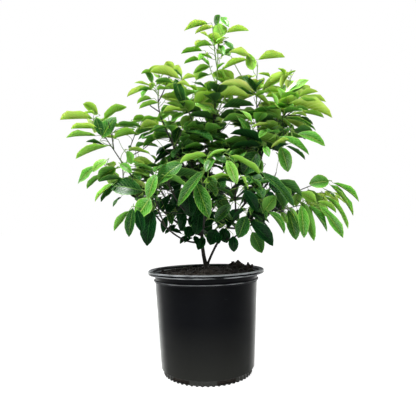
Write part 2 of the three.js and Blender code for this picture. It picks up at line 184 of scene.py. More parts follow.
lip_bottom = POT_HEIGHT - LIP_HEIGHT
slope_foot = BEAD_TOP - 2 * BEAD_HEIGHT
pot_profile = [
    (0, 0),
    (HEEL_RADIUS - 0.006, 0),
    (HEEL_RADIUS - 0.0008, 0),
    (HEEL_RADIUS, 0.0008),
    (HEEL_RADIUS, POT_FLOOR),
    (HEEL_RADIUS, 0.007),
    (HEEL_RADIUS, SLOT_TOP),
    (HEEL_RADIUS + 0.0006, HEEL_HEIGHT),
    (wall_at(HEEL_HEIGHT) - 0.001, HEEL_HEIGHT + HEEL_STEP * 0.7),
    (wall_at(HEEL_HEIGHT), HEEL_HEIGHT + HEEL_STEP * 1.3),
    *((wall_at(height), height) for height in (0.05, 0.10, 0.15, slope_foot)),
    (BEAD_RADIUS - 0.0006, BEAD_TOP - BEAD_HEIGHT - 0.0005),
    (BEAD_RADIUS, BEAD_TOP - BEAD_HEIGHT + 0.0007),
    (BEAD_RADIUS, BEAD_TOP - 0.0009),
    (BEAD_RADIUS - 0.0009, BEAD_TOP),
    (NECK_RADIUS - 0.0025, BEAD_TOP + 0.0015),
    (NECK_RADIUS - 0.0018, lip_bottom - 0.004),
    (NECK_RADIUS, lip_bottom - 0.0015),
    (RIM_RADIUS - 0.0045, lip_bottom),
    (RIM_RADIUS - 0.0016, lip_bottom + 0.0006),
    (RIM_RADIUS - 0.0002, lip_bottom + 0.0022),
    (RIM_RADIUS, lip_bottom + 0.0045),
    (RIM_RADIUS - 0.0006, POT_HEIGHT - 0.0016),
    (RIM_RADIUS - 0.0022, POT_HEIGHT - 0.0003),
    (RIM_RADIUS - 0.0048, POT_HEIGHT),
    (RIM_RADIUS - 0.0082, POT_HEIGHT - 0.0006),
    (RIM_RADIUS - 0.0105, POT_HEIGHT - 0.0028),
    (NECK_RADIUS - WALL, lip_bottom),
]
# The inside of the wall, from the neck to the floor; the soil follows it.
pot_inside = [
    (NECK_RADIUS - 0.002, BEAD_TOP),
    (wall_at(slope_foot), slope_foot),
    (wall_at(0.10), 0.10),
    (wall_at(HEEL_HEIGHT), HEEL_HEIGHT + HEEL_STEP),
    (HEEL_RADIUS, HEEL_HEIGHT),
]
pot_profile += [(radius - WALL, height) for radius, height in pot_inside]
pot_profile += [(HEEL_RADIUS - WALL, SLOT_TOP), (HEEL_RADIUS - WALL, POT_FLOOR), (0, POT_FLOOR)]
pot_bm = spun(pot_profile, FLUTES * STEPS_A_FLUTE)


def in_slot(face, towards):
    """True where a face of the heel's wall lies in the drain slot at that side."""
    middle = face.calc_center_median()
    heights = [vert.co.z for vert in face.verts]
    in_height = min(heights) > POT_FLOOR - 1e-5 and max(heights) < SLOT_TOP + 1e-5
    aside = abs(towards.x * middle.y - towards.y * middle.x)
    upright = abs(face.normal.z) < 0.5
    return upright and in_height and middle.dot(towards) > 0 and aside < SLOT_WIDTH / 2


for index in range(SLOTS):
    slot_turn = (index + SLOT_TURN) * FULL_TURN / SLOTS
    towards = Vector((math.cos(slot_turn), math.sin(slot_turn), 0))
    cut = [face for face in pot_bm.faces if in_slot(face, towards)]
    bmesh.ops.delete(pot_bm, geom=cut, context="FACES")
    bmesh.ops.bridge_loops(pot_bm, edges=[e for e in pot_bm.edges if e.is_boundary])

for vert in pot_bm.verts:
    radius = math.hypot(vert.co.x, vert.co.y)
    if vert.co.z < HEEL_HEIGHT + 0.0005 and radius > HEEL_RADIUS - WALL / 2:
        groove = 0.5 + 0.5 * math.cos(FLUTES * math.atan2(vert.co.y, vert.co.x))
        drawn_in = 1 - FLUTE_DEPTH * groove / radius
        lifted = FLUTE_LIFT * groove**2 if vert.co.z < 0.001 else 0
        vert.co = Vector((vert.co.x * drawn_in, vert.co.y * drawn_in, vert.co.z + lifted))
bmesh.ops.recalc_face_normals(pot_bm, faces=pot_bm.faces)
pot_shell = put(mesh_of("pot_shell", pot_bm), 32)

pot_material, look = new_look("black_polyethylene")
height = look.axis(look.place(), "Z")
smears = look.clouds((9, 9, 26), 5.0, 0.62)
pitting = look.clouds(900.0, 2.0)
scratches = look.clouds((40, 40, 700), 3.0)
highlight_patches = look.clouds((22, 22, 260), 4.0, 0.6)
black = look.mixed(look.between(smears, 0.35, 0.7), paint(1, 2, 5), paint(4, 6, 10))
# The wall is painted a paler grey towards its foot, most at the bottom and fading out 0.13 m up.
paler_towards_foot = look.between(height, PALE_FOOT_HEIGHT, 0.0, 0.0, 0.95)
black = look.mixed(paler_towards_foot, black, paint(38, 39, 36))
# Painted light: the heel is painted paler, lifting the shade that falls in its recess under the wall's
# step.
heel_painted_light = look.between(height, HEEL_HEIGHT + 0.001, HEEL_HEIGHT - 0.001, 0.0, 0.7)
black = look.mixed(heel_painted_light, black, paint(72, 73, 70))
black = look.mixed(look.between(scratches, 0.72, 0.84, 0.0, 0.25), black, paint(92, 95, 98))
# The lip and the raised ring carry painted highlights, partly real wear: pale grey lines where their
# curves would catch the light, broken into patches where pots are stacked and carried.
for highlight_height, spread, low, high in (
    (POT_HEIGHT - 0.0014, 0.0014, 0.34, 0.56),
    (lip_bottom + 0.0016, 0.0012, 0.42, 0.60),
    (BEAD_TOP - 0.0012, 0.0011, 0.36, 0.62),
):
    off = look.maths("COMPARE", height, highlight_height, spread)
    painted_highlight = look.maths("MULTIPLY", off, look.between(highlight_patches, low, high, 0.0, 0.9))
    black = look.mixed(painted_highlight, black, paint(150, 154, 156))
# Painted sheen: the wall is painted pale where it is seen edge on, as if it reflected the bright
# surround there; the lip, whose faces look up or down, does not get it.
edge_on = look.between(look.node("LayerWeight", Blend=0.5).outputs["Facing"], 0.5, 0.97)
upward = look.maths("ABSOLUTE", look.axis(look.node("NewGeometry").outputs["Normal"], "Z"))
on_wall = look.between(upward, 0.2, 0.45, 0.85, 0.0)
painted_edge_sheen = look.maths("MULTIPLY", look.maths("POWER", edge_on, 2.2), on_wall)
black = look.mixed(painted_edge_sheen, black, paint(228, 230, 227))
pot_roughness = look.between(smears, 0.3, 0.75, 0.33, 0.52)
pot_inputs = look.surface(black, pot_roughness, (0.12, 0.0006, pitting), (0.1, 0.0005, scratches))
pot_inputs["Specular IOR Level"].default_value = 0.07
pot_shell.data.materials.append(pot_material)
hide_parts("pot")


# ---- soil ----
# Dark peat and composted bark fill the pot to just under its lip. The surface is watered down,
# lumpy, a little mounded round the trunk, and heaped against the wall at the back right.
SOIL_EDGE = 0.224
SOIL_BROW = 0.229
MOUND_TOP = 0.236
MOUND_SHARE = 0.8
BROW_RADIUS = 0.060
MOUND_FLAT = 0.018
TRAMPLED = 0.012
SOIL_REACH = NECK_RADIUS - WALL - 0.0006
SEAT = 0.0003
# Each heap: its middle, how far it spreads and how high it rises.
HEAPS = ((Vector((0.085, 0.079)), 0.022, 0.010), (Vector((0.110, 0.036)), 0.010, 0.009))
# Each size of lump: how many to a metre, its seed and its height.
LUMPS = ((55, 3, 0.0028), (170, 8, 0.0019))
SOIL_RINGS = 34
SOIL_STEPS = 144


def mix(low, high, share):
    return low + (high - low) * share


def kept(share):
    """A share kept from 0 to 1."""
    return min(1, max(0, share))


def ground_at(x, y):
    """Height of the soil's surface over a place in the pot."""
    reach = math.hypot(x, y)
    edge = kept((reach - BROW_RADIUS) / (SOIL_REACH - BROW_RADIUS))
    brow = kept((BROW_RADIUS - reach) / (BROW_RADIUS - MOUND_FLAT))
    even = mix(SOIL_BROW, SOIL_EDGE, edge) + (MOUND_TOP - SOIL_BROW) * brow * MOUND_SHARE
    away = [((Vector((x, y)) - middle).length / spread, rise) for middle, spread, rise in HEAPS]
    heap = sum(rise * math.exp(-(off**2)) for off, rise in away)
    lumps = sum(noise.noise(Vector((x * scale, y * scale, seed))) * rise for scale, seed, rise in LUMPS)
    return even + heap + lumps * (1 if reach > TRAMPLED else 0.4)


soil_profile = [(SOIL_REACH * i / SOIL_RINGS, SOIL_BROW) for i in range(SOIL_RINGS + 1)]
soil_profile += [(radius - WALL - SEAT, height) for radius, height in pot_inside]
soil_profile += [(HEEL_RADIUS - WALL - SEAT, POT_FLOOR + SEAT), (0, POT_FLOOR + SEAT)]
soil_bm = spun(soil_profile, SOIL_STEPS)
for vert in soil_bm.verts:
    if vert.co.z > SOIL_BROW - 1e-4:
        vert.co.z = ground_at(vert.co.x, vert.co.y)
soil_bed = put(mesh_of("soil_bed", soil_bm), 60)

soil_material, look = new_look("damp_potting_mix")
clods = look.clouds(160.0, 6.0, 0.7)
grit = look.node("TexVoronoi", Vector=look.place(), Scale=420.0).outputs["Distance"]
damp = look.clouds(24.0, 2.0)
peat = look.mixed(look.between(clods, 0.35, 0.68), paint(14, 11, 9), paint(58, 46, 34))
peat = look.mixed(look.between(damp, 0.3, 0.7, 0.0, 0.5), peat, paint(20, 17, 14))
soil_roughness = look.between(damp, 0.3, 0.7, 0.95, 0.75)
look.surface(peat, soil_roughness, (0.9, 0.004, clods), (0.6, 0.002, grit))
soil_bed.data.materials.append(soil_material)
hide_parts("soil")


# ---- crumbs and bark chips on the soil ----
# Loose crumbs of peat and split chips of composted bark lie all over the surface, thickest in the
# heap. They are small rough lumps, each kind joined into one piece.
CRUMBS = 2100
CLODS = 190
CHIPS = 420
SHARDS = 84
CRUMB_SIZES, CRUMB_FLAT = (0.0010, 0.0030), 0.8
CLOD_SIZES, CLOD_FLAT = (0.0030, 0.0068), 0.9
CHIP_SIZES, CHIP_FLAT = (0.0014, 0.0032), 0.4
SHARD_SIZES = (0.0022, 0.0046)
SHARD_LIFTS = (0.002, 0.007)
SHARD_TIPS = (0.7, 1.5)
SHARD_REACH = 0.9
SHARD_ROOM = 0.004
LYING_TIPS = (-0.6, 0.6)
LYING_LIFT = 0.35
ANY_TURN = (0, 6.28)
LUMP_DEPTH = 0.38
LUMP_SCALE = 1.7
HEAPED_SHARE = 0.16
HEAPED_REACH = 0.24
HEAPED_SIZE = 1.35


def dice(seed):
    """Even random numbers between two limits, always the same ones for the same seed."""
    state = seed * 7919

    def roll(low, high):
        nonlocal state
        state = (state * 1664525 + 1013904223) % 2**32
        return low + (high - low) * state / 2**32

    return roll


def arrays_of(bm):
    """The points and the faces of a small template shape."""
    bm.verts.index_update()
    points = np.array([vert.co[:] for vert in bm.verts])
    faces = np.array([[vert.index for vert in face.verts] for face in bm.faces])
    bm.free()
    return points, faces


def join(name, copies, sharp_angle=60):
    """One piece from many placed copies, each a pair of its own points and the faces between them."""
    starts = np.cumsum([0] + [len(points) for points, _ in copies])
    points = np.concatenate([points for points, _ in copies]).tolist()
    faces = [face for (_, own), start in zip(copies, starts) for face in (own + start).tolist()]
    mesh = bpy.data.meshes.new(name)
    mesh.from_pydata(points, [], faces)
    return put(mesh, sharp_angle)


def lump(seed, stretch):
    """A rough lump of 20 faces, drawn out along one axis."""
    bm = bmesh.new()
    bmesh.ops.create_icosphere(bm, subdivisions=1, radius=1)
    for vert in bm.verts:
        vert.co *= 1 + LUMP_DEPTH * noise.noise(vert.co * LUMP_SCALE + Vector((seed, 0, 0)))
        vert.co.x *= stretch
    return arrays_of(bm)


def laid(shape, turn, tip, size, spot):
    """A copy of a shape, tipped and turned, at its size and spot."""
    points, faces = shape
    way = Matrix.Rotation(turn, 3, "Z") @ Matrix.Rotation(tip, 3, "Y")
    return (points * size) @ np.array(way.transposed()) + np.array(spot), faces


def scattered(count, shapes, sizes, flat, roll):
    """Copies of a few shapes laid at random on the soil, turned and half sunk in it."""
    copies = []
    while len(copies) < count:
        x, y = roll(-SOIL_REACH, SOIL_REACH), roll(-SOIL_REACH, SOIL_REACH)
        heaped = len(copies) < count * HEAPED_SHARE
        if heaped:
            x, y = HEAPS[0][0] + Vector((x, y)) * HEAPED_REACH
        size = roll(*sizes) * (HEAPED_SIZE if heaped else 1)
        if TRAMPLED < math.hypot(x, y) < SOIL_REACH - size:
            spot = (x, y, ground_at(x, y) + size * flat * LYING_LIFT)
            shape = shapes[len(copies) % len(shapes)]
            turn, tip = roll(*ANY_TURN), roll(*LYING_TIPS)
            copies.append(laid(shape, turn, tip, size * np.array((1, 1, flat)), spot))
    return copies


def standing(count, shapes, roll):
    """Shards of bark that stick up out of the heaps, two in three in the first."""
    copies = []
    for index in range(count):
        middle, spread, _ = HEAPS[int(index % 3 == 0)]
        x, y = middle + Vector((roll(-spread, spread), roll(-spread, spread))) * SHARD_REACH
        if math.hypot(x, y) < SOIL_REACH - SHARD_ROOM:
            turn, tip, size = roll(*ANY_TURN), roll(*SHARD_TIPS), roll(*SHARD_SIZES)
            spot = (x, y, ground_at(x, y) + roll(*SHARD_LIFTS))
            copies.append(laid(shapes[index % len(shapes)], turn, tip, size, spot))
    return copies


crumb_shapes = [lump(3 * i, 1.0 + 0.12 * i) for i in range(5)]
chip_shapes = [lump(20 + 3 * i, 2.0 + 0.3 * i) for i in range(4)]
crumbs = scattered(CRUMBS, crumb_shapes, CRUMB_SIZES, CRUMB_FLAT, dice(11))
crumbs += scattered(CLODS, crumb_shapes, CLOD_SIZES, CLOD_FLAT, dice(13))
soil_crumbs = join("soil_crumbs", crumbs)
soil_crumbs.data.materials.append(soil_material)
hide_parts("soil")

chips = scattered(CHIPS, chip_shapes, CHIP_SIZES, CHIP_FLAT, dice(12))
bark_chips = join("bark_chips", chips + standing(SHARDS, chip_shapes, dice(14)))
chip_material, look = new_look("composted_bark")
fibre = look.clouds(380.0, 4.0)
patches = look.clouds(70.0, 1.0)
chip_colour = look.mixed(look.between(patches, 0.35, 0.65), paint(30, 24, 18), paint(66, 49, 36))
chip_colour = look.mixed(look.between(fibre, 0.4, 0.65), chip_colour, paint(20, 17, 13))
look.surface(chip_colour, look.between(fibre, 0.3, 0.7, 0.7, 0.95), (0.5, 0.001, fibre))
bark_chips.data.materials.append(chip_material)
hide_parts("soil")


# ---- trunk and boughs ----
# The tree is one short trunk that forks low down, with a leader and boughs that bow outwards under
# their leaves. The wood is smooth dark brown bark with fine ridges and a swollen collar at each fork.
TRUNK_FOOT = Vector((0.005, 0, 0.228))
SAG = 0.3
FLARE = 0.003
FLARE_FADE = 14
COLLAR = 0.35
COLLAR_FADE = 16
END_RADIUS = 0.0017
RING_STEP = 0.004
LIMB_SIDES = 12
BARK_RELIEF = 0.00030
# Each limb: what it grows from and how far along, its tip, and the radius of its foot.
LIMBS = {
    "trunk": (None, 0, (0.008, 0, 0.43), 0.0048),
    "right_stem": ("trunk", 0.07, (0.122, 0, 0.416), 0.003),
    "right_bough": ("right_stem", 1, (0.178, 0, 0.588), 0.0024),
    "leader_bough": ("trunk", 1, (0.033, 0, 0.65), 0.0031),
    "upper_left_bough": ("trunk", 0.9, (-0.092, -0.05, 0.578), 0.0026),
    "upper_centre_bough": ("trunk", 0.97, (-0.022, -0.01, 0.562), 0.0024),
    "left_bough": ("trunk", 0.5, (-0.198, -0.01, 0.498), 0.0029),
    "left_flank_bough": ("left_bough", 0.55, (-0.172, -0.055, 0.425), 0.002),
    "low_left_bough": ("trunk", 0.42, (-0.105, -0.085, 0.36), 0.0024),
    "front_left_bough": ("trunk", 0.68, (-0.068, -0.105, 0.41), 0.0022),
    "centre_left_bough": ("trunk", 0.8, (-0.058, -0.035, 0.48), 0.0024),
    "front_centre_bough": ("trunk", 0.56, (0.002, -0.13, 0.385), 0.0024),
    "spire_bough": ("right_bough", 0.45, (0.132, 0, 0.59), 0.002),
    "right_shoulder_bough": ("right_bough", 0.6, (0.192, -0.06, 0.546), 0.0019),
    "right_flank_bough": ("right_bough", 0.1, (0.142, -0.08, 0.43), 0.0019),
    "spray_bough": ("right_stem", 0.55, (0.166, -0.03, 0.376), 0.0023),
    "low_right_bough": ("right_stem", 0.42, (0.09, -0.095, 0.34), 0.0019),
    "front_right_bough": ("right_stem", 0.7, (0.066, -0.12, 0.41), 0.002),
    "centre_right_bough": ("right_stem", 0.85, (0.098, -0.02, 0.49), 0.0021),
    "back_left_high_bough": ("trunk", 0.86, (-0.075, 0.095, 0.56), 0.0025),
    "back_left_bough": ("trunk", 0.62, (-0.12, 0.09, 0.44), 0.0025),
    "back_top_bough": ("trunk", 0.94, (0.028, 0.075, 0.6), 0.0025),
    "back_centre_bough": ("trunk", 0.74, (0.008, 0.12, 0.42), 0.0023),
    "back_right_high_bough": ("right_bough", 0.25, (0.145, 0.09, 0.56), 0.0021),
    "back_right_bough": ("right_stem", 0.9, (0.175, 0.095, 0.44), 0.0022),
}
# The limbs that bow to a bend of their own, and those that end thicker than the others.
BENDS = {"trunk": (-0.022, 0, 0.3), "right_stem": (0.03, 0, 0.318), "right_bough": (0.13, 0, 0.5)}
END_RADII = {"trunk": 0.0034, "right_stem": 0.0024}
UP = Vector((0, 0, 1))


class Bow:
    """A limb or shoot that leaves its foot towards a bend and ends at its tip."""

    def __init__(self, foot, bend, tip):
        self.foot, self.bend, self.tip = Vector(foot), Vector(bend), Vector(tip)
        marks = [self.at(i / 100) for i in range(101)]
        self.length = sum((b - a).length for a, b in zip(marks, marks[1:]))

    def at(self, share):
        left = 1 - share
        return self.foot * left * left + self.bend * 2 * share * left + self.tip * share * share

    def tangent(self, share):
        lead = (self.bend - self.foot) * (1 - share) + (self.tip - self.bend) * share
        return lead.normalized()


def across(axis, turn):
    """The unit vector across an axis at a turn about it."""
    reference = UP if abs(axis.z) < 0.9 else Vector((0, 1, 0))
    first = axis.cross(reference).normalized()
    return first * math.cos(turn) + axis.cross(first) * math.sin(turn)


def limb_bow(name):
    parent, share, tip, _ = LIMBS[name]
    foot = bows[parent].at(share) if parent else TRUNK_FOOT
    tip = Vector(tip)
    return Bow(foot, BENDS.get(name, (foot + tip) / 2 - UP * SAG * (tip - foot).xy.length), tip)


def limb_radius(name, share):
    parent, _, _, foot = LIMBS[name]
    thickness = mix(foot, END_RADII.get(name, END_RADIUS), share)
    if parent is None:
        return thickness + FLARE * math.exp(-share * FLARE_FADE)
    return thickness * (1 + COLLAR * math.exp(-share * COLLAR_FADE))


def limb_bmesh(name):
    """A tube that grows ring by ring along its bow, each ring turned and drawn in from the last."""
    bow = bows[name]
    bm = bmesh.new()
    bmesh.ops.create_circle(bm, cap_ends=False, segments=LIMB_SIDES, radius=1)
    steps = max(6, round(bow.length / RING_STEP))
    side = across(bow.tangent(0), 0)
    last = Matrix.Identity(4)
    ring = list(bm.verts)
    edges = list(bm.edges)
    for step in range(steps + 1):
        share = step / steps
        along = bow.tangent(share)
        side = (side - along * side.dot(along)).normalized()
        turned = Matrix((side, along.cross(side), along)).transposed().to_4x4()
        size = Matrix.Scale(limb_radius(name, share), 4)
        here = Matrix.Translation(bow.at(share)) @ turned @ size
        if step > 0:
            grown = bmesh.ops.extrude_edge_only(bm, edges=edges)["geom"]
            ring = [part for part in grown if isinstance(part, bmesh.types.BMVert)]
            others = [part for part in grown if isinstance(part, bmesh.types.BMEdge)]
            edges = [edge for edge in others if all(vert in ring for vert in edge.verts)]
        bmesh.ops.transform(bm, matrix=here @ last.inverted(), verts=ring)
        last = here
    bmesh.ops.holes_fill(bm, edges=[e for e in bm.edges if e.is_boundary], sides=0)
    bmesh.ops.recalc_face_normals(bm, faces=bm.faces)
    return bm


bows = {}
wood_bm = bmesh.new()
for name in LIMBS:
    bows[name] = limb_bow(name)
    limb_mesh = mesh_of(name, limb_bmesh(name))
    wood_bm.from_mesh(limb_mesh)
    bpy.data.meshes.remove(limb_mesh)
wood_bm.normal_update()
for vert in wood_bm.verts:
    x, y, z = vert.co
    ridges = noise.noise(Vector((x * 420, y * 420, z * 110)))
    knots = noise.noise(vert.co * 60)
    vert.co += vert.normal * BARK_RELIEF * (ridges + knots)
wood = put(mesh_of("wood", wood_bm), 50)


def new_group(name, inputs):
    """A node group for one effect of a surface, the maker of its nodes and the values it is given."""
    group = bpy.data.node_groups.new(name, "ShaderNodeTree")
    for key, default in inputs.items():
        kind = "NodeSocketColor" if isinstance(default, tuple) else "NodeSocketFloat"
        socket = group.interface.new_socket(key, in_out="INPUT", socket_type=kind)
        socket.default_value = default
    for key, kind in (("Colour", "Color"), ("Roughness", "Float"), ("Relief", "Float")):
        group.interface.new_socket(key, in_out="OUTPUT", socket_type="NodeSocket" + kind)
    return group, Look(group), group.nodes.new("NodeGroupInput").outputs


def hand_out(look, **values):
    """Hands the finished values of a group to its outputs."""
    handed = look.tree.nodes.new("NodeGroupOutput").inputs
    for key, value in values.items():
        look.feed(value, handed[key])


def group_material(name, group, strength, depth, **inputs):
    """A material whose look comes from a group; also its shader, for what is the same all over."""
    material, look = new_look(name)
    given = look.node("Group", {"node_tree": group}, **inputs).outputs
    relief = (strength, depth, given["Relief"])
    return material, look.surface(given["Colour"], given["Roughness"], relief)


bark_colours = {"Bark": (0.1, 0.1, 0.1, 1), "Streak": (0.3, 0.3, 0.3, 1)}
bark_group, look, given = new_group("bark_grain", bark_colours)
grain = look.clouds((520, 520, 114.4), 5.0, 0.65)
blotches = look.clouds(38.0, 3.0)
pores = look.node("TexVoronoi", Vector=look.place(), Scale=310.0).outputs["Distance"]
streaked = look.mixed(look.between(grain, 0.42, 0.68), given["Bark"], given["Streak"])
hand_out(
    look,
    Colour=look.mixed(look.between(blotches, 0.4, 0.7, 0.0, 0.55), streaked, given["Bark"]),
    Roughness=look.between(grain, 0.3, 0.7, 0.62, 0.85),
    Relief=look.maths("MULTIPLY_ADD", grain, 0.7, pores),
)


def bark_material(name, bark, streak, strength):
    """Bark of one age: its ground colour, the colour of its fine streaks and how deep they are."""
    return group_material(name, bark_group, strength, 0.0008, Bark=bark, Streak=streak)[0]


wood.data.materials.append(bark_material("old_bark", paint(12, 11, 9), paint(46, 40, 31), 0.7))
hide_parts(*LIMBS)


# ---- shoots and twigs ----
# Last year's shoots are brown and this year's are green. Each mass of foliage has one stem that
# carries on from its limb, side shoots that fork off it by the golden angle, and short fine twigs.
# They are grown here and made under the leaves, because each one ends where its last leaf stands.
GOLDEN_ANGLE = 2.39996
LEAVES_A_SHOOT = 9
LEAD = 0.45
TURN_OFF = 0.75
FIRST_FORK = 0.2
FORK_STEP = 0.2
FORK_ANGLE = math.radians(48)
SIDE_LENGTH = 0.62
SIDE_SPREAD = (0.85, 1.15)
SHOOT_RADII = (0.0015, 0.0008)
FINE_RADII = (0.0008, 0.0006)
FINE_STEP = 0.042
FINE_REACH = (0.030, 0.052)
FINE_ANGLE = math.radians(56)
GREEN_LOW, GREEN_LOW_AT = 0.85, 0.6
GREEN_HIGH, GREEN_HIGH_AT = 0.08, 0.8
GREEN_OVERLAP = 0.02
LEAST_END = 0.3
PAST_LEAF = 0.01
# Each mass: its limb and how far along, the tip of its stem, its leaves, its seed, and its tone,
# from 0 for pale young leaves at the top to 5 for the darkest old ones inside; the tone is partly
# the leaves' age and partly painted shade, darker low down and inside the crown.
MASSES = {
    "crown_top": ("leader_bough", 1, (0.042, 0, 0.82), 21, 3, 0.7),
    "right_spire": ("spire_bough", 1, (0.14, 0, 0.752), 19, 15, 0.9),
    "upper_left": ("upper_left_bough", 1, (-0.084, -0.065, 0.694), 20, 20, 1.3),
    "upper_centre": ("upper_centre_bough", 1, (-0.056, -0.04, 0.692), 17, 30, 1.6),
    "centre_top": ("leader_bough", 0.7, (0.078, 0.05, 0.703), 12, 85, 2),
    "far_left": ("left_bough", 1, (-0.276, -0.04, 0.624), 19, 43, 1.2),
    "left_shoulder": ("left_bough", 0.93, (-0.15, 0.075, 0.625), 13, 7, 1.8),
    "left_flank": ("left_flank_bough", 1, (-0.238, -0.045, 0.49), 17, 60, 2),
    "low_left": ("low_left_bough", 1, (-0.16, -0.08, 0.415), 11, 68, 3.3),
    "low_left_front": ("low_left_bough", 0.8, (-0.105, -0.15, 0.42), 10, 76, 3.3),
    "low_left_inner": ("trunk", 0.5, (-0.1, -0.025, 0.398), 11, 87, 4.2),
    "front_left": ("front_left_bough", 1, (-0.086, -0.15, 0.488), 12, 89, 3),
    "centre_left": ("centre_left_bough", 1, (-0.07, -0.065, 0.575), 19, 93, 2.8),
    "centre": ("trunk", 0.92, (0.002, -0.085, 0.575), 17, 94, 2.9),
    "front_centre": ("front_centre_bough", 1, (-0.005, -0.19, 0.425), 11, 95, 3.1),
    "low_centre": ("front_centre_bough", 0.6, (0.05, -0.115, 0.408), 8, 123, 4.2),
    "front_right": ("front_right_bough", 1, (0.062, -0.175, 0.48), 13, 97, 2.8),
    "centre_right": ("centre_right_bough", 1, (0.122, -0.06, 0.565), 17, 98, 2.8),
    "low_right_inner": ("right_stem", 0.6, (0.068, -0.04, 0.352), 7, 19, 4.6),
    "low_right": ("low_right_bough", 1, (0.106, -0.14, 0.376), 11, 140, 4.2),
    "spray_upper": ("spray_bough", 1, (0.327, -0.02, 0.438), 19, 165, 2),
    "spray_lower": ("spray_bough", 0.85, (0.272, -0.045, 0.386), 16, 161, 2.4),
    "right_flank": ("right_flank_bough", 1, (0.15, -0.13, 0.392), 10, 179, 3.3),
    "right_top": ("right_bough", 1, (0.23, 0.06, 0.722), 13, 190, 1),
    "far_right": ("right_bough", 0.92, (0.257, -0.04, 0.624), 19, 194, 1.5),
    "right_shoulder": ("right_shoulder_bough", 1, (0.224, -0.09, 0.558), 16, 203, 2.5),
    "back_left_high": ("back_left_high_bough", 1, (-0.1, 0.15, 0.655), 11, 27, 2),
    "back_left": ("back_left_bough", 1, (-0.185, 0.17, 0.49), 11, 28, 2.8),
    "back_top": ("back_top_bough", 1, (0.03, 0.12, 0.715), 11, 29, 1.5),
    "back_centre": ("back_centre_bough", 1, (0, 0.21, 0.48), 11, 30, 3.2),
    "back_low": ("back_centre_bough", 0.5, (-0.045, 0.125, 0.375), 11, 33, 4.2),
    "back_right_high": ("back_right_high_bough", 1, (0.165, 0.145, 0.65), 10, 31, 2),
    "back_right": ("back_right_bough", 1, (0.215, 0.165, 0.49), 11, 32, 3),
}


def leaning(axis, turn, angle):
    """The direction that leans out from an axis by an angle, at a turn about it."""
    return axis * math.cos(angle) + across(axis, turn) * math.sin(angle)


def stem_bow(limb, share, tip):
    """The stem of a mass, bent from its limb's direction to its tip."""
    tip = Vector(tip)
    foot = bows[limb].at(share)
    lead = bows[limb].tangent(share)
    if share < 1:
        lead = lead.lerp((tip - foot).normalized(), TURN_OFF).normalized()
    return Bow(foot, foot + lead * (tip - foot).length * LEAD, tip)


def side_bow(stem, share, turn, reach, angle):
    """A side shoot that forks from its stem and then bends back along it."""
    axis = stem.tangent(share)
    heading = leaning(axis, turn, angle)
    start = stem.at(share)
    elbow = start + heading * reach / 2
    return Bow(start, elbow, elbow + (heading + axis).normalized() * reach / 2)


def shoots_of(limb, share, tip, leaves, roll):
    """The stem of a mass and its side shoots."""
    stem = stem_bow(limb, share, tip)
    shoots = [stem]
    turn = roll(0, FULL_TURN)
    for index in range(math.ceil(leaves / LEAVES_A_SHOOT) - 1):
        turn += GOLDEN_ANGLE
        reach = stem.length * SIDE_LENGTH * roll(*SIDE_SPREAD)
        shoots.append(side_bow(stem, FIRST_FORK + FORK_STEP * index, turn, reach, FORK_ANGLE))
    return shoots


def straight_tube(sides, steps):
    """A tube of radius 1, closed at both ends, with a ring of corners at every whole step up Z."""
    bm = bmesh.new()
    stood = Matrix.Translation((0, 0, steps / 2)) @ Matrix.Rotation(-math.pi / 2, 4, "Z")
    size = {"segments": sides, "radius1": 1, "radius2": 1, "depth": steps}
    bmesh.ops.create_cone(bm, cap_ends=True, cap_tris=True, matrix=stood, **size)
    upright = [edge for edge in bm.edges if edge.verts[0].co.z != edge.verts[1].co.z]
    bmesh.ops.subdivide_edges(bm, edges=upright, cuts=steps - 1)
    bmesh.ops.triangulate(bm, faces=bm.faces)
    return arrays_of(bm)


def twig(bow, start, end, radii, tube):
    """A straight tube bent along the part of a shoot between two shares of its length."""
    corners, faces = tube
    levels = corners[:, 2].round().astype(int)
    steps = levels.max()
    shares = [mix(start, end, i / steps) for i in range(steps + 1)]
    marks = [bow.at(share) for share in shares]
    side = across((marks[1] - marks[0]).normalized(), 0)
    rings = []
    for index, (mark, share) in enumerate(zip(marks, shares)):
        along = (marks[min(index + 1, steps)] - marks[max(index - 1, 0)]).normalized()
        side = (side - along * side.dot(along)).normalized()
        radius = mix(*radii, share)
        rings.append(((side * radius)[:], (along.cross(side) * radius)[:], mark[:]))
    sides, thirds, middles = np.array(rings)[levels].transpose(1, 0, 2)
    return corners[:, :1] * sides + corners[:, 1:2] * thirds + middles, faces


# The tube of each kind of twig: how many sides it has, and how many steps.
shoot_tube = straight_tube(6, 8)
stem_tube = straight_tube(5, 5)
fine_tube = straight_tube(5, 4)
stalk_tube = straight_tube(4, 3)
brown_parts = []
green_parts = []
growth = {}
# How far along each shoot its last leaf stands; the shoot is cut off just past it.
leafy_ends = {}
for name, (limb, share, tip, leaves, seed, _) in MASSES.items():
    roll = dice(seed)
    shoots = shoots_of(limb, share, tip, leaves, roll)
    growth[name] = (shoots, roll)
    leafy_ends.update({shoot: LEAST_END for shoot in shoots})


# ---- leaves ----
# Thick glossy citrus leaves, oval and pointed at both ends, folded along a pale midrib and arched.
# The upper side is deep and shiny, the lower side paler and matt. Young ones are lime, old ones dark,
# and the tones also hold painted light and shade: pale where the crown is lit, dark where it is shaded.
LEAF_LENGTH = 0.077
LEAF_SPREAD = (0.82, 1.16)
TIP_SIZE = 0.75
STALK_SHARE = 0.13
STALK_RADII = (0.0006, 0.0005)
STALK_RISE = 0.35
TRIES = (0, 0.8, -0.8, 1.6, -1.6, 2.4)
FIRST_ON_STEM = 0.12
FIRST_ON_SIDE = 0.22
FIRST_ON_FINE = 0.3
FIRST_ON_INNER = 0.2
LAST_SHARE = 0.99
YOUNGER = 0.9
LOW_LEAN, HIGH_LEAN, LAST_LEAN = 78, 52, 20
SINK = 0.72
FACE_TILT = 0.5
TURN_SPREAD = 0.3
ROLL_SPREAD = 0.35
FALL_SPREAD = 0.3
DROOP_LOW, DROOP_LOW_AT = 62, 0.340
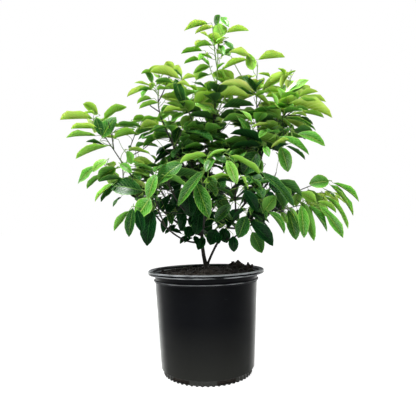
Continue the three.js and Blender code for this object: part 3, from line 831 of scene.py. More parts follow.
DROOP_HIGH, DROOP_HIGH_AT = 5, 0.680
ROOM = 0.0075
FINE_LEAVES = 3
FINE_SIZE = (0.50, 0.72)
FORKED_SHARE = 0.8
FINE_FROM, FINE_TO = 0.12, 0.78
FINE_TONE, FINE_TONE_AT = 0.5, 0.6
INNER_SHARES = (0.25, 0.4, 0.55, 0.7, 0.85)
INNER_LEAVES = 6
INNER_SIZE = (0.7, 0.95)
INNER_REACH = (0.05, 0.09)
INNER_ROOM = 0.005
# Leaves on the inner twigs get dark tones, darkest low down: partly their age and partly painted shade
# inside the crown.
INNER_LOW_TONE, INNER_LOW_AT = 4.8, 0.34
INNER_HIGH_TONE, INNER_HIGH_AT = 3.2, 0.64
TONE_SPREAD = 0.75
BLADE_ROWS = (0, 0.12, 0.3, 0.5, 0.7, 0.88, 1)
BLADE_COLUMNS = (-1, -0.5, -0.05, 0.05, 0.5, 1)
BLADE_THICKNESS = 0.004
RIB_THICKNESS = 0.010
RIB_HALF = 0.1
NARROWEST = 0.035
OVAL = 0.64
BROADEST, TAPER = 1.05, 0.12
TWISTS = (-0.3, 0.3)
WAVES = (0.04, 0.18)
WAVE_RATE = 9
SWINGS = (-0.05, 0.05)
LEAF_WIDTHS = (0.88, 1.12)
# The limits of the fold, the arch and the width of the flatter leaves and of the cupped ones.
OPEN_SHAPES, OPEN_LIMITS = 9, ((0.15, 0.50), (0.10, 0.40), (0.235, 0.295))
CUPPED_SHAPES, CUPPED_LIMITS = 7, ((0.42, 0.70), (0.05, 0.25), (0.26, 0.33))
# Tone by tone: the name, the upper side, the lower side and the midrib.
TONES = (
    ("lime", paint(140, 196, 62), paint(212, 238, 118), paint(230, 244, 166)),
    ("spring", paint(88, 164, 40), paint(168, 210, 80), paint(214, 236, 140)),
    ("grass", paint(50, 132, 28), paint(110, 170, 52), paint(184, 216, 116)),
    ("leaf", paint(28, 96, 24), paint(64, 124, 40), paint(146, 190, 88)),
    ("deep", paint(12, 60, 22), paint(36, 82, 32), paint(112, 160, 76)),
    ("shade", paint(3, 36, 14), paint(14, 50, 20), paint(48, 94, 46)),
)


def droop_at(height):
    """How far below level leaves hang at a height; the low ones hang the most."""
    share = (height - DROOP_LOW_AT) / (DROOP_HIGH_AT - DROOP_LOW_AT)
    return math.radians(mix(DROOP_LOW, DROOP_HIGH, kept(share)))


def blade_shape(roll, folds, arches, widths):
    """One leaf blade a unit long, along X and facing +Z, with its own fold, arch, twist and wave."""
    bm = bmesh.new()
    rows, columns = len(BLADE_ROWS) - 1, len(BLADE_COLUMNS) - 1
    bmesh.ops.create_grid(bm, x_segments=rows, y_segments=columns, size=1)
    width = roll(*widths)
    fold, arch, twist = roll(*folds), roll(*arches), roll(*TWISTS)
    wave, phase, swing = roll(*WAVES), roll(0, FULL_TURN), roll(*SWINGS)
    shares = {}
    for vert in bm.verts:
        along = BLADE_ROWS[round((vert.co.x + 1) / 2 * rows)]
        out = BLADE_COLUMNS[round((vert.co.y + 1) / 2 * columns)]
        shares[vert] = (along, out)
    below = bmesh.ops.duplicate(bm, geom=bm.faces)
    low_faces = {part for part in below["geom"] if isinstance(part, bmesh.types.BMFace)}
    low_verts = {part for part in below["geom"] if isinstance(part, bmesh.types.BMVert)}
    for vert in low_verts:
        shares[vert] = shares[below["vert_map"][vert]]
    bmesh.ops.reverse_faces(bm, faces=list(low_faces))
    layer = bm.loops.layers.uv.new("leaf")
    for face in bm.faces:
        on_rib = all(abs(shares[vert][1]) < RIB_HALF for vert in face.verts)
        face.material_index = 2 if on_rib else int(face in low_faces)
        for loop in face.loops:
            along, out = shares[loop.vert]
            loop[layer].uv = (along, out / 2 + 0.5)
    for vert in bm.verts:
        along, out = shares[vert]
        on_rib = abs(out) < RIB_HALF
        swell = math.sin(math.pi * along)
        half = width * max(NARROWEST, swell**OVAL * (BROADEST - TAPER * along))
        thick = BLADE_THICKNESS * (1 - out * out) * swell
        if vert in low_verts:
            thick = -thick - (RIB_THICKNESS * (1 - along) if on_rib and 0 < along < 1 else 0)
        elif on_rib:
            thick -= BLADE_THICKNESS * swell
        lift = abs(out) * half * (fold + wave * math.sin(along * WAVE_RATE + phase + out))
        spot = Vector((0, out * half, lift + thick))
        spot.rotate(Matrix.Rotation(twist * along, 3, "X"))
        bowed = along * (1 - along)
        vert.co = spot + Vector((along, swing * bowed, arch * bowed))
    bmesh.ops.remove_doubles(bm, verts=bm.verts, dist=MERGE)
    uv = np.array([loop[layer].uv[:] for face in bm.faces for loop in face.loops])
    kinds = np.array([face.material_index for face in bm.faces])
    points, faces = arrays_of(bm)
    return points, faces, kinds, uv


def leaf_at(bow, share, turn, roll, last):
    """How one leaf stands: leaning out from its shoot, sunk to the droop of its height, face up."""
    root = bow.at(share)
    lean = math.radians(LAST_LEAN if last else mix(LOW_LEAN, HIGH_LEAN, share))
    along = leaning(bow.tangent(share), turn, lean)
    level = Vector((along.x, along.y, 0)).normalized()
    face_roll = roll(-ROLL_SPREAD, ROLL_SPREAD)
    fall = roll(-FALL_SPREAD, FALL_SPREAD)
    rise = mix(math.asin(along.z), -droop_at(root.z), SINK) + fall
    along = level * math.cos(rise) + UP * math.sin(rise)
    face = UP + level * FACE_TILT
    face = (face - along * face.dot(along)).normalized()
    face.rotate(Matrix.Rotation(face_roll, 3, along))
    return root, along, face


PROBES = [(along, out) for along in (0.35, 0.6, 0.8, 1.0) for out in (-0.14, 0, 0.14)]
PROBE_SAG = 0.16


def probes_of(root, along, face, length):
    """Points spread over a blade, by which it is kept clear of what is already there."""
    side = along.cross(face)
    spots = [root + (along * a + side * o - face * a * a * PROBE_SAG) * length for a, o in PROBES]
    return np.array([spot[:] for spot in spots])


def gap(some, others):
    """The smallest distance between two sets of points."""
    return np.linalg.norm(some[:, None] - others[None], axis=2).min()


LOWEST_LEAF = 0.262
CUPPED_ABOVE = 0.5
# Leaves within the crown's heart get a darker tone, more the nearer its middle they stand: painted shade
# where the crown shades itself.
HEART = np.array((0.005, 0.01, 0.47))
HEART_REACH = np.array((0.24, 0.17, 0.23))
INSIDE_SHADE = 1.25
LEAF_NEAR = 0.08
LIMB_NEAR = 0.06
LIMB_ROOM = 0.7
LIMB_MARKS = 24


class Crown:
    """The leaves placed so far, and the test for room among them."""

    def __init__(self, obstacles):
        self.leaves = []
        self.probes = np.empty((0, len(PROBES), 3))
        self.obstacles = np.array(obstacles)

    def has_room(self, probes, room):
        """True where probes keep their distance from the leaves and the limbs near them."""
        middle = probes.mean(axis=0)
        near = np.linalg.norm(self.probes.mean(axis=1) - middle, axis=1) < LEAF_NEAR
        others = self.probes[near].reshape(-1, 3)
        if len(others) and gap(probes, others) < room:
            return False
        limbs = self.obstacles[np.linalg.norm(self.obstacles - middle, axis=1) < LIMB_NEAR]
        return not len(limbs) or gap(probes, limbs) > room * LIMB_ROOM

    def grow(self, stands, length, tone, room):
        """Takes the first stand with room; false where there is none."""
        for root, along, face in stands:
            probes = probes_of(root, along, face, length)
            low = probes[:, 2].min() < LOWEST_LEAF
            if not low and in_outline(probes) and self.has_room(probes, room):
                inside = max(0, 1 - np.linalg.norm((np.array(root) - HEART) / HEART_REACH))
                width = mix(*LEAF_WIDTHS, len(self.leaves) * GOLDEN_ANGLE % 1)
                cupped = root.z > CUPPED_ABOVE
                self.take(root, along, face, length, tone + inside * INSIDE_SHADE, width, cupped)
                return True
        return False

    def take(self, *leaf):
        """Puts a leaf in its place."""
        self.leaves.append(leaf)
        self.probes = np.concatenate((self.probes, probes_of(*leaf[:4])[None]))


limb_shares = [mark / LIMB_MARKS for mark in range(LIMB_MARKS + 1)]
crown = Crown([bow.at(share)[:] for bow in bows.values() for share in limb_shares])

# The crown as it shows from the front, on a grid that stands square to the line of sight through the
# trunk. Across and up from that line, in cells of the grid: the outline, open places, and leaves.
VIEW_SPOT = Vector((0.008, -0.942, 0.330))
VIEW_TURN = Matrix.Rotation(math.radians(92.97), 3, "X") @ Matrix.Rotation(math.radians(-1.27), 3, "Z")
TO_GRID = 0.943
CELL = 0.02387
OUTLINE = (
    (0.3, 18.8), (2, 18.8), (2.1, 17), (2.7, 15.8), (1.8, 14.8), (1.4, 13), (3.6, 12.8), (4.6, 13.8),
    (5.2, 12.8), (5.6, 12), (7.6, 13.6), (9.2, 12.6), (10.6, 11.4), (11.4, 10), (10.2, 9.4), (10.6, 7.8),
    (11, 6.6), (9.6, 5.8), (8, 6), (7.8, 4.2), (7, 4.8), (6.4, 5.6), (5.4, 4.8), (5.4, 3.4), (7.6, 2.2),
    (8.8, 1.2), (9.8, 1.6), (12.2, 2.2), (14.2, 0.8), (13.6, -1.4), (12.8, -2.2), (11.4, -2),
    (10.4, -2.8), (9, -2.8), (7.6, -1), (6.2, -1), (5.8, -3.2), (4.6, -2.4), (3.8, -1.8), (2.8, -3.8),
    (1.6, -3), (0.4, -3.4), (-0.8, -3.4), (-2.2, -2.2), (-3.2, -2.2), (-4.4, -2), (-4.8, -0.4),
    (-5.4, -2.4), (-6.8, -1.6), (-7.2, 0.2), (-8.4, 1.2), (-10.2, 1.2), (-10.8, 2.4), (-11.6, 3),
    (-10.8, 4.4), (-10, 5.2), (-12, 5.8), (-12.8, 7.4), (-12.4, 9), (-11, 9.6), (-9, 9.6), (-9.4, 8.4),
    (-7.6, 8.2), (-6.6, 9), (-5.4, 8.8), (-5.8, 10.4), (-7, 11), (-6.2, 12.4), (-6, 13.6), (-3.6, 14),
    (-2.4, 13), (-0.8, 13.2), (-1.6, 14.8), (-1.8, 16.2), (-1.2, 17.8),
)
# Each open place: its middle, and half its width and height.
OPEN_PLACES = (
    (-6.6, 4.95, 0.7, 0.35), (-5, 5.1, 0.4, 1), (-8.5, 3.2, 0.5, 0.5), (-9.1, 5.3, 0.8, 1.4),
    (-8, 6.6, 0.7, 0.4), (-5.3, 10.9, 0.5, 0.6), (4.5, 7.4, 0.45, 0.7), (1.9, 9.5, 0.5, 0.4),
    (5.1, 10.4, 0.4, 0.45), (2.1, 7.8, 0.35, 0.6), (2.8, 6.6, 0.5, 0.3), (-0.4, 8.5, 0.4, 0.35),
    (2.9, -0.1, 0.4, 0.35), (4.1, -0.3, 0.4, 0.5), (0.2, -1.7, 0.5, 0.4), (-1.8, 0, 0.3, 0.5),
    (1.1, -3, 0.35, 0.5), (-4.4, 1.1, 0.4, 0.5), (-1.8, -1, 0.3, 0.4), (0.4, 14.2, 0.6, 0.9),
    (-2.2, 4, 0.35, 0.4), (5.9, 1.7, 0.5, 0.35), (1, 3.2, 0.3, 0.35), (2.2, 1.8, 0.35, 0.3),
)
# The leaves that show, mass by mass: where the blade starts and ends, how far its upper side turns
# to the front, its width as a share of the usual, and its tone.
SHOWN = {
    "crown_top": (
        (0.7, 18.3, 1.2, 19.3, 0.9, 1.5, 3.2), (1.3, 19.1, 2.1, 18.1, 0.7, 1, 1.6),
        (0, 18.4, -2.4, 17.7, 0, 1.1, 1), (0.4, 18, -1.3, 17.4, 0, 0.9, 0.6),
        (1.4, 17.1, 0.9, 18.5, -0.8, 1.8, 2), (1.8, 17.5, 4.1, 17.7, 0, 1, 0.9),
        (1.5, 16.5, -0.1, 17.2, -0.3, 1.1, 0.8), (0.3, 16.3, -1.4, 15.9, -0.1, 1, 1.6),
        (-0.6, 15.7, -2.7, 15.4, 0, 1, 2.6), (0.4, 14.9, -0.9, 15.3, 0.2, 1.2, 2.2),
        (-0.8, 14.8, -2.4, 14.4, 0, 1, 2), (-0.9, 15.1, 0.1, 14.2, 0.3, 1, 2),
        (0.2, 14.1, -1.4, 13.5, -0.3, 0.8, 1.6), (1.5, 16.7, 2.5, 15.8, 0.4, 1, 2.8),
        (1.1, 16.3, 1.6, 15.2, 0.5, 0.9, 1.9), (1.3, 15.1, 2.8, 15.9, 0.2, 0.7, 3),
        (0.9, 13.8, 1.7, 14.5, 0.4, 0.9, 2.4), (0, 15.4, -0.9, 14.7, 0.2, 1.1, 1.6),
        (1.6, 12.8, 1.1, 13.8, 0.3, 0.8, 2), (1.9, 17, 0.8, 16.6, 0.4, 0.9, 1.4),
    ),
    "right_spire": (
        (4.2, 15.1, 2.1, 15.6, 0, 1.2, 0.2), (4.5, 13.8, 4, 15.5, -0.5, 1.1, 2.3),
        (5, 14.8, 7.7, 15.05, 0, 1, 0.3), (3.9, 14.8, 1.3, 13.7, 0, 0.95, 1.2),
        (4.8, 11.6, 3.4, 13.1, 0.6, 0.9, 4), (4.7, 11.8, 5.6, 12.8, 0.5, 0.9, 3.8),
        (4.6, 11.6, 1.2, 12.3, 0, 0.55, 0), (4.6, 11.3, 2, 11.7, 0.2, 0.7, 4),
        (1, 11.2, 4.1, 11, 0, 0.7, 1), (1.4, 10, 4.6, 10.2, 0, 0.75, 3.8),
        (6.3, 10, 4.3, 11.5, 0, 0.7, 0.9), (6.2, 13.1, 5, 13.4, 0.2, 0.9, 1.6),
    ),
    "right_top": (
        (8.3, 13.5, 5.4, 11.7, -0.4, 0.65, 0.6), (8.2, 13.6, 7.3, 12, -0.3, 0.7, 1.4),
        (8, 13.2, 8.8, 13.7, 0.4, 1, 0.6), (7.7, 13.3, 7, 13.9, 0.3, 1, 1),
        (7.6, 11.2, 10.1, 12.8, 0.5, 0.65, 0.9), (8.1, 11.2, 9.6, 12.2, -0.3, 0.9, 2.4),
        (8.9, 11, 11, 11.6, 0, 0.7, 0.8), (7.6, 10.7, 7, 12, 0.5, 1.1, 1),
        (6.8, 10, 6.3, 11.6, 0.3, 0.7, 1.4),
    ),
    "far_right": (
        (9.2, 11, 11.8, 10.6, 0, 0.7, 0.5), (8, 10.4, 12.4, 9, 0.2, 0.36, 0.9),
        (7, 9, 8.7, 7.4, 0.4, 0.85, 0.3), (7.8, 9, 10.8, 7.7, 0.4, 0.6, 1.6),
        (9.5, 9.5, 11.6, 9, 0, 0.7, 1.8), (9.2, 9.1, 10.5, 8.3, 0.2, 0.9, 3.2),
        (8.5, 10, 10.1, 9.7, 0, 0.9, 3),
    ),
    "right_shoulder": (
        (8.9, 7.4, 11.7, 6.2, 0.7, 0.7, 1.3), (8.6, 7.7, 10.5, 7.6, 0, 0.8, 3.2),
        (7.1, 7.1, 10.1, 5.3, 0.5, 0.6, 1.2), (7.8, 6.2, 9.7, 4.8, 0.3, 0.6, 3.4),
        (8.2, 6.8, 6.3, 6, -0.1, 0.8, 0.7), (7.3, 6.1, 8, 3.6, 0.8, 1.15, 1.8),
        (5.6, 6.2, 6.1, 5.1, 0.6, 1.1, 1), (8.1, 6.4, 6.4, 5.7, 0, 0.7, 4.6),
    ),
    "centre_right": (
        (5.4, 6.5, 2.2, 7.4, 0, 1, 4.4), (5.2, 6.2, 2.4, 6.1, 0, 0.9, 4.4),
        (6, 8.4, 4.3, 8, 0, 0.9, 0.1), (6, 7.8, 5.1, 7, 0.5, 1.1, 1.6),
        (3.2, 9.7, 4.4, 8.5, 0.4, 0.8, 1), (4.9, 5.6, 3.5, 3.4, 0.8, 1.3, 3.2),
        (5.4, 4.8, 5.3, 3.5, -0.6, 1, 2.4), (3, 9, 4.2, 7.4, 0.4, 1, 2.6), (1.4, 8.6, 4, 8.9, 0, 1, 2.8),
    ),
    "upper_left": (
        (-3.6, 13.6, -4.2, 14.65, -0.8, 1.9, 0.6), (-5.6, 12.5, -6.4, 13.8, 0.4, 1.1, 1.6),
        (-5.3, 13.6, -6.7, 13.4, 0, 0.9, 1.6), (-2.8, 12.9, -5.8, 13.6, 0, 1, 0.2),
        (-2.6, 12.9, -3.4, 13.8, 0.6, 1.3, 2.4), (-4.5, 13.8, -5.9, 13.9, 0, 0.8, 0.8),
        (-5.9, 12, -8.1, 11.1, -0.2, 0.7, 0.9), (-5.8, 12.2, -7.4, 12.5, 0, 0.6, 0.6),
        (-3.6, 12.5, -5.3, 12.6, 0, 1, 3.2), (-5.1, 11.8, -3.7, 11.9, 0.1, 1.3, 1.6),
        (-5.6, 11.8, -7, 11.7, 0, 0.7, 2.4), (-5.9, 11.9, -6.6, 11, 0.2, 0.9, 2),
        (-5.6, 10.9, -7.1, 10.4, -0.1, 1, 2.2), (-5, 10.5, -6.9, 9.9, -0.1, 1, 1.4),
        (-2.4, 10.1, -3.3, 12.9, 0.8, 0.6, 3.6), (-2.6, 12.8, -1.1, 13.1, 0, 0.8, 0.4),
        (-4.5, 9.6, -2.6, 9.8, 0, 1.2, 0.1), (-2.4, 9.5, -3.7, 8.6, 0.6, 1.2, 1.8),
    ),
    "upper_centre": (
        (-0.2, 12, -1.7, 12.6, 0.4, 1.6, 4), (-1, 12.9, 0.1, 13.3, 0, 1, 3),
        (0.8, 9.4, -1.6, 10.35, 0.6, 0.9, 0.9), (-1.8, 8.7, -2.3, 7.4, 0.6, 1, 1.2),
        (0.6, 8.8, -1.8, 9.2, 0, 1.4, 3.8),
    ),
    "far_left": (
        (-11.5, 8.9, -14.8, 8.8, 0, 0.95, 1.3), (-11, 9.4, -12.5, 10.4, -0.4, 1.7, 1.3),
        (-10.4, 8.9, -8.1, 10.1, -0.1, 1.1, 2.2), (-10.6, 7, -9.2, 9.1, 0.6, 1.2, 2.7),
        (-11, 7.9, -13.7, 7.9, 0, 1.2, 1.4), (-11.2, 7.2, -14.2, 7, 0, 1.05, 1.8),
        (-11.4, 9.5, -12.5, 9.4, 0, 1.1, 1.4), (-10.6, 7.2, -11.2, 9, 0.6, 0.9, 3.4),
        (-10, 6.2, -13.2, 4.9, 0.2, 1, 2.4), (-10.4, 6.3, -12.2, 6.6, 0, 1, 3.2),
        (-7.1, 7.4, -9.4, 6.9, -0.1, 1.4, 2), (-6.7, 8.1, -9.1, 8.3, 0, 0.7, 2.6),
    ),
    "left_shoulder": (
        (-7.5, 8.8, -6.1, 8.85, -0.2, 1.5, 1.4), (-6.8, 7.9, -5, 8.35, -0.3, 1.1, 0.2),
        (-6.7, 8.6, -4.8, 8.9, 0, 0.9, 1.6), (-8, 5.8, -5.8, 5.4, 0, 1.2, 0.6),
        (-5.4, 7.6, -7, 6.8, 0.3, 1, 3.4), (-3.8, 7.4, -6.5, 6, 0, 0.8, 2.8),
        (-2.9, 8.1, -3.4, 6.2, 0.8, 1, 4), (-3.2, 6.4, -5.2, 5.2, 0.2, 0.6, 4.2),
        (-3, 5.8, -5.4, 4.4, 0.2, 0.6, 4.4), (-8.6, 7.7, -7.3, 7.8, 0, 1, 2.2),
    ),
    "left_flank": (
        (-11.2, 4.2, -13, 2.4, 0.6, 1.1, 1.4), (-10.1, 4.8, -11.5, 3.6, 0.7, 1.1, 0.9),
        (-9.2, 4, -11, 2.7, -0.4, 1.3, 2.8), (-10.6, 3.2, -12.1, 1.9, -0.3, 0.9, 1.8),
        (-9.4, 2.4, -11.3, 0.6, 0.4, 0.7, 1.2), (-9, 2.2, -10.7, 0.6, 0.4, 0.8, 3.8),
        (-6.6, 1.7, -9.9, 2.2, 0.8, 1.25, 3.3), (-8.6, 2.9, -10.9, 2.6, 0, 0.8, 4),
        (-8.7, 1.1, -9.5, 0.1, 0.4, 0.7, 3.4), (-8.1, 5.7, -7.6, 4.4, -0.7, 1.4, 3),
        (-8.8, 4.4, -7.6, 3.5, 0.7, 1, 1), (-5.3, 3.6, -7.5, 4.3, 0, 0.9, 2.8),
    ),
    "low_left": (
        (-7.5, 0, -7.9, -2.9, 0.8, 0.65, 3.9), (-7.9, -0.3, -9.4, -2.3, -0.4, 0.6, 2.4),
        (-7.1, -0.2, -6.6, -2.4, 0.7, 0.8, 4.2),
    ),
    "low_left_front": (
        (-5.2, 3.4, -6, 0.9, 0.9, 0.95, 1), (-5.8, 1, -7.1, -1, 0.8, 1.5, 1.2),
        (-5.6, -0.3, -6.1, -3.8, 0.9, 0.85, 4.3),
    ),
    "low_left_inner": (
        (-4.2, -0.8, -4.5, -2.5, 0.8, 0.9, 5), (-2.3, -0.5, -2.7, -2.3, 0.7, 0.9, 4.8),
        (-1.6, -2.4, -3, -2.3, 0.3, 0.7, 5), (-1.5, -3, -2.4, -3.5, 0.5, 0.8, 5),
        (-3.8, -0.6, -3.6, -1.7, 0.6, 1.2, 3.4), (-0.8, 0, -1.2, -2.7, 0.7, 0.9, 5),
        (-2.2, 0, -3, -1.4, 0.7, 1.3, 4.6), (-1.5, -0.7, -1.8, -1.8, 0.6, 1.2, 5),
        (-3.2, 0.6, -4.2, -0.6, 0.7, 1.1, 4.6), (-1, -2, -2, -3, 0.7, 0.9, 5),
        (-4, 1.2, -4.6, -0.4, 0.6, 1, 4.2), (-2, 1.4, -1.8, -0.9, 0.6, 1.2, 4.4),
        (-0.4, 1.2, -1.3, -0.9, 0.6, 1.2, 4.4), (-2.8, 1.8, -3.4, 0.2, 0.6, 1.1, 4),
        (-1.8, -1.8, -2.2, -3, 0.7, 1.2, 5), (-2.6, -2.6, -3.9, -2.2, 0.5, 1, 5),
        (-3.2, -1.7, -4.3, -2.6, 0.6, 0.9, 5), (-2, -2.7, -2.8, -3.6, 0.6, 0.9, 5),
        (-1.4, -2.8, -0.8, -3.9, 0.6, 1, 5),
    ),
    "front_left": (
        (-2.6, 4.5, -5.1, 2.4, 0.8, 1, 3.1), (-4.3, 3.2, -1.9, 1.9, 0.1, 0.8, 2.2),
    ),
    "front_centre": (
        (-0.5, 3.7, -3, 0.2, 0.8, 0.45, 2.3), (-1.2, 2.5, 0.1, -1, 0.8, 0.8, 2.1),
        (-0.1, 5.2, -2.8, 4.5, 0, 1.1, 1.7), (1.9, 5.8, -0.2, 4.8, 0.3, 0.8, 1.6),
        (0.4, 5.5, 1.8, 4.5, 0.5, 1.1, 3.6), (0.5, 5, -0.2, 3.6, 0.6, 1.1, 2),
    ),
    "front_right": (
        (1.9, 4.8, 2.9, 2.4, 0.9, 0.85, 0.4), (2.2, 5.2, 5.2, 3.3, 0.2, 0.6, 1.8),
        (3.3, 3.2, 4, 1.8, -0.4, 1, 2.2),
    ),
    "low_centre": (
        (2.3, 0.3, 0.7, -1.4, 0.7, 0.9, 3), (3.6, 1.8, 4.9, -0.4, 0.6, 0.9, 4),
        (3.8, -0.8, 3, -3, 0.8, 1.1, 3.4), (2.5, -2.8, 2.6, -4.4, 0.7, 1.35, 5),
    ),
    "low_right_inner": (
        (0.8, -2.1, 0.2, -3.7, 0.7, 1.6, 5), (1.4, -2, 1.9, -3.5, 0.6, 1.4, 5),
        (-0.4, -2.9, -1, -4.2, 0.7, 1.4, 5), (0.4, -1.4, 1.4, -1.5, 0.4, 1, 4.6),
        (0.3, -0.2, -0.3, -2.2, 0.7, 1.1, 5), (1, -2.6, 1.1, -3.6, 0.7, 1.2, 5),
    ),
    "low_right": (
        (4.2, -1.4, 6.5, -3.8, 0.6, 0.85, 4.4), (4.4, -2.4, 5.4, -4.5, -0.5, 1.1, 3.4),
    ),
    "right_flank": (
        (5.4, 3.5, 8.6, 0.1, 0.6, 0.5, 3.6), (6.8, 2.7, 9.4, 1.1, -0.2, 0.6, 3.2),
        (6.7, 2.6, 5, 2.4, 0.2, 0.8, 3), (5.6, -0.3, 6.8, 1.2, -0.7, 1.7, 2.6),
        (5.1, 0.6, 5.8, -1.2, 0.2, 1, 2.8), (6, -0.4, 7.6, -2.6, 0.3, 0.7, 2.6),
    ),
    "spray_upper": (
        (12.1, 2.7, 10.1, 2.4, 0.9, 1.3, 1), (12.5, 2.5, 15.1, 0.6, 0.4, 0.5, 1.1),
        (12.2, 2.3, 14.5, -0.8, 0.4, 0.5, 1.1), (11.7, 1.2, 14, -2.1, 0.4, 0.5, 1),
    ),
    "spray_lower": (
        (11.1, 0.2, 13.5, -3, 0.6, 0.5, 1), (10, 0.3, 11.9, -2.4, 0.3, 0.55, 2.1),
        (10.9, 0.6, 12.8, -0.5, 0.1, 0.7, 1.5), (10.8, 0.5, 9.1, 1.5, -0.4, 1.2, 1.3),
        (9.6, 0.5, 10.6, -3.3, -0.4, 0.5, 1.8), (9.3, 0.3, 9.6, -3, 0.9, 0.6, 1.3),
        (8, -0.2, 8.8, -3.2, 0.8, 0.8, 2.8), (8, 0.1, 9.2, -2.4, 0.4, 0.55, 0.6),
        (7.3, -0.4, 7.9, -1.6, 0.5, 1, 0.7),
    ),
}
SHORTEST_SHOWN = 0.034
SHOWN_FORWARD = 0.018
SHOWN_DEPTH = 0.004
SHOWN_FROM, SHOWN_TO = 0.15, 0.9
SHOWN_TONE_SPREAD = 0.3
SHOOT_MARKS = 20
CUPPED_FRONT = 0.35
FRONT_RISE = 0.15
TWIG_BACK = 0.12
TWIG_LEAD = 0.4
FIRST_TWIG = 0.05
# Half the width that stays clear over a shown leaf, by its length, for an open and a cupped one.
OPEN_HALF, CUPPED_HALF = 0.17, 0.12
# The shown leaves are painted darker low down, in full at the first height and fading out over the span
# after it: painted shade.
LOW_SHADE, LOW_SHADE_AT, LOW_SHADE_FADE = 0.7, 0.35, 0.4


def on_grid(points):
    """Where points show on the grid, across and up."""
    seen = (np.array(points) - np.array(VIEW_SPOT)) @ np.array(VIEW_TURN)
    return seen[..., :2] / -seen[..., 2:] * (TO_GRID / CELL)


def from_grid(across_cells, up_cells, depth):
    """The point at a depth that shows at a place on the grid."""
    ray = VIEW_TURN @ Vector((across_cells * CELL, up_cells * CELL, -TO_GRID))
    return VIEW_SPOT + ray * ((depth - VIEW_SPOT.y) / ray.y)


def in_outline(points):
    """True where all the points show inside the crown's outline and clear of what must show."""
    seen = on_grid(points)
    inside = np.zeros(len(seen), bool)
    for (x, y), (next_x, next_y) in zip(OUTLINE, OUTLINE[1:] + OUTLINE[:1]):
        level = (y > seen[:, 1]) != (next_y > seen[:, 1])
        run = (seen[:, 1] - y) / (next_y - y or 1) * (next_x - x) + x
        inside ^= level & (seen[:, 0] < run)
    if not inside.all():
        return False
    for x, y, half_width, half_height in OPEN_PLACES:
        if (((seen[:, 0] - x) / half_width) ** 2 + ((seen[:, 1] - y) / half_height) ** 2 < 1).any():
            return False
    for start, reach, half_width, depth in shown_places:
        along = np.clip((seen - start) @ reach / (reach @ reach), SHOWN_FROM, SHOWN_TO)
        off = np.linalg.norm(seen - start - along[:, None] * reach, axis=1)
        if ((off < half_width) & (points[:, 1] < depth + SHOWN_DEPTH)).any():
            return False
    return True


shown_places = []
for name, leaves in SHOWN.items():
    shoots, _ = growth[name]
    marks = [(shoot, i / SHOOT_MARKS) for shoot in shoots for i in range(2, SHOOT_MARKS + 1)]
    mark_places = on_grid([shoot.at(share)[:] for shoot, share in marks])
    for x, y, tip_x, tip_y, front, width, tone in leaves:
        nearest = np.linalg.norm(mark_places - np.array((x, y)), axis=1).argmin()
        shoot, share = marks[nearest]
        depth = shoot.at(share).y - SHOWN_FORWARD
        base = from_grid(x, y, depth)
        tip = from_grid(tip_x, tip_y, depth)
        shows = (tip - base).length
        short = SHORTEST_SHOWN**2 - shows**2
        if short > 0:
            tip = from_grid(tip_x, tip_y, depth - math.sqrt(short))
        blade = (tip - base).length
        width *= shows / blade
        tone += mix(LOW_SHADE, 0, kept((base.z - LOW_SHADE_AT) / LOW_SHADE_FADE))
        along = (tip - base) / blade
        face = UP * (1 - abs(front)) + Vector((0, -front, FRONT_RISE * abs(front)))
        face = (face - along * face.dot(along)).normalized()
        length = blade / (1 - STALK_SHARE)
        root = base - along * length * STALK_SHARE
        cupped = abs(front) < CUPPED_FRONT
        crown.take(root, along, face, length, tone, width, cupped)
        fork = max(FIRST_TWIG, share - TWIG_BACK)
        leafy_ends[shoot] = max(leafy_ends[shoot], fork)
        start = shoot.at(fork)
        bend = start + shoot.tangent(fork) * (root - start).length * TWIG_LEAD
        green_parts.append(twig(Bow(start, bend, root), 0, 1, FINE_RADII, stem_tube))
        reach = np.array((tip_x - x, tip_y - y))
        half_width = np.linalg.norm(reach) * width * (CUPPED_HALF if cupped else OPEN_HALF)
        shown_places.append((np.array((x, y)), reach, half_width, (base.y + tip.y) / 2))
shown_leaves = len(crown.leaves)


def leaves_along(bow, first, count, length, tone, roll, room=ROOM):
    """The leaves of one shoot, in turn from its foot to its tip; the last ones are the youngest."""
    turn = roll(0, FULL_TURN)
    for index in range(count):
        share = mix(first, LAST_SHARE, (index + 0.5) / (count - 0.5))
        size = TIP_SIZE if index >= count - 2 else 1
        reach = length * roll(*LEAF_SPREAD) * size
        turn += GOLDEN_ANGLE + roll(-TURN_SPREAD, TURN_SPREAD)
        last = index == count - 1
        stands = [leaf_at(bow, share, turn + shift, roll, last) for shift in TRIES]
        if crown.grow(stands, reach, tone - YOUNGER * (share - 0.5), room):
            leafy_ends[bow] = max(leafy_ends.get(bow, 0), share)


for name, (_, _, _, leaves, _, tone) in MASSES.items():
    shoots, roll = growth[name]
    total = sum(shoot.length for shoot in shoots)
    for index, shoot in enumerate(shoots):
        count = int(leaves * shoot.length / total + 0.5)
        first = FIRST_ON_SIDE if index else FIRST_ON_STEM
        leaves_along(shoot, first, count, LEAF_LENGTH, tone, roll)

# Fine twigs fork off every shoot, each with a few smaller leaves, and off the boughs inside the crown,
# where the leaves are the oldest and their dark tones also hold painted shade.
for name, (_, _, _, _, seed, tone) in MASSES.items():
    roll = dice(seed + 500)
    for shoot in growth[name][0]:
        turn = roll(0, FULL_TURN)
        forks = int(shoot.length * FORKED_SHARE / FINE_STEP)
        for fork in range(forks):
            turn += GOLDEN_ANGLE
            at = mix(FINE_FROM, FINE_TO, (fork + 0.5) / forks)
            fine = side_bow(shoot, at, turn, roll(*FINE_REACH), FINE_ANGLE)
            length = LEAF_LENGTH * roll(*FINE_SIZE)
            fine_tone = tone + FINE_TONE * (FINE_TONE_AT - at)
            leaves_along(fine, FIRST_ON_FINE, FINE_LEAVES, length, fine_tone, roll)
            if fine in leafy_ends:
                green_parts.append(twig(fine, 0, leafy_ends[fine], FINE_RADII, fine_tube))
                leafy_ends[shoot] = max(leafy_ends[shoot], at)

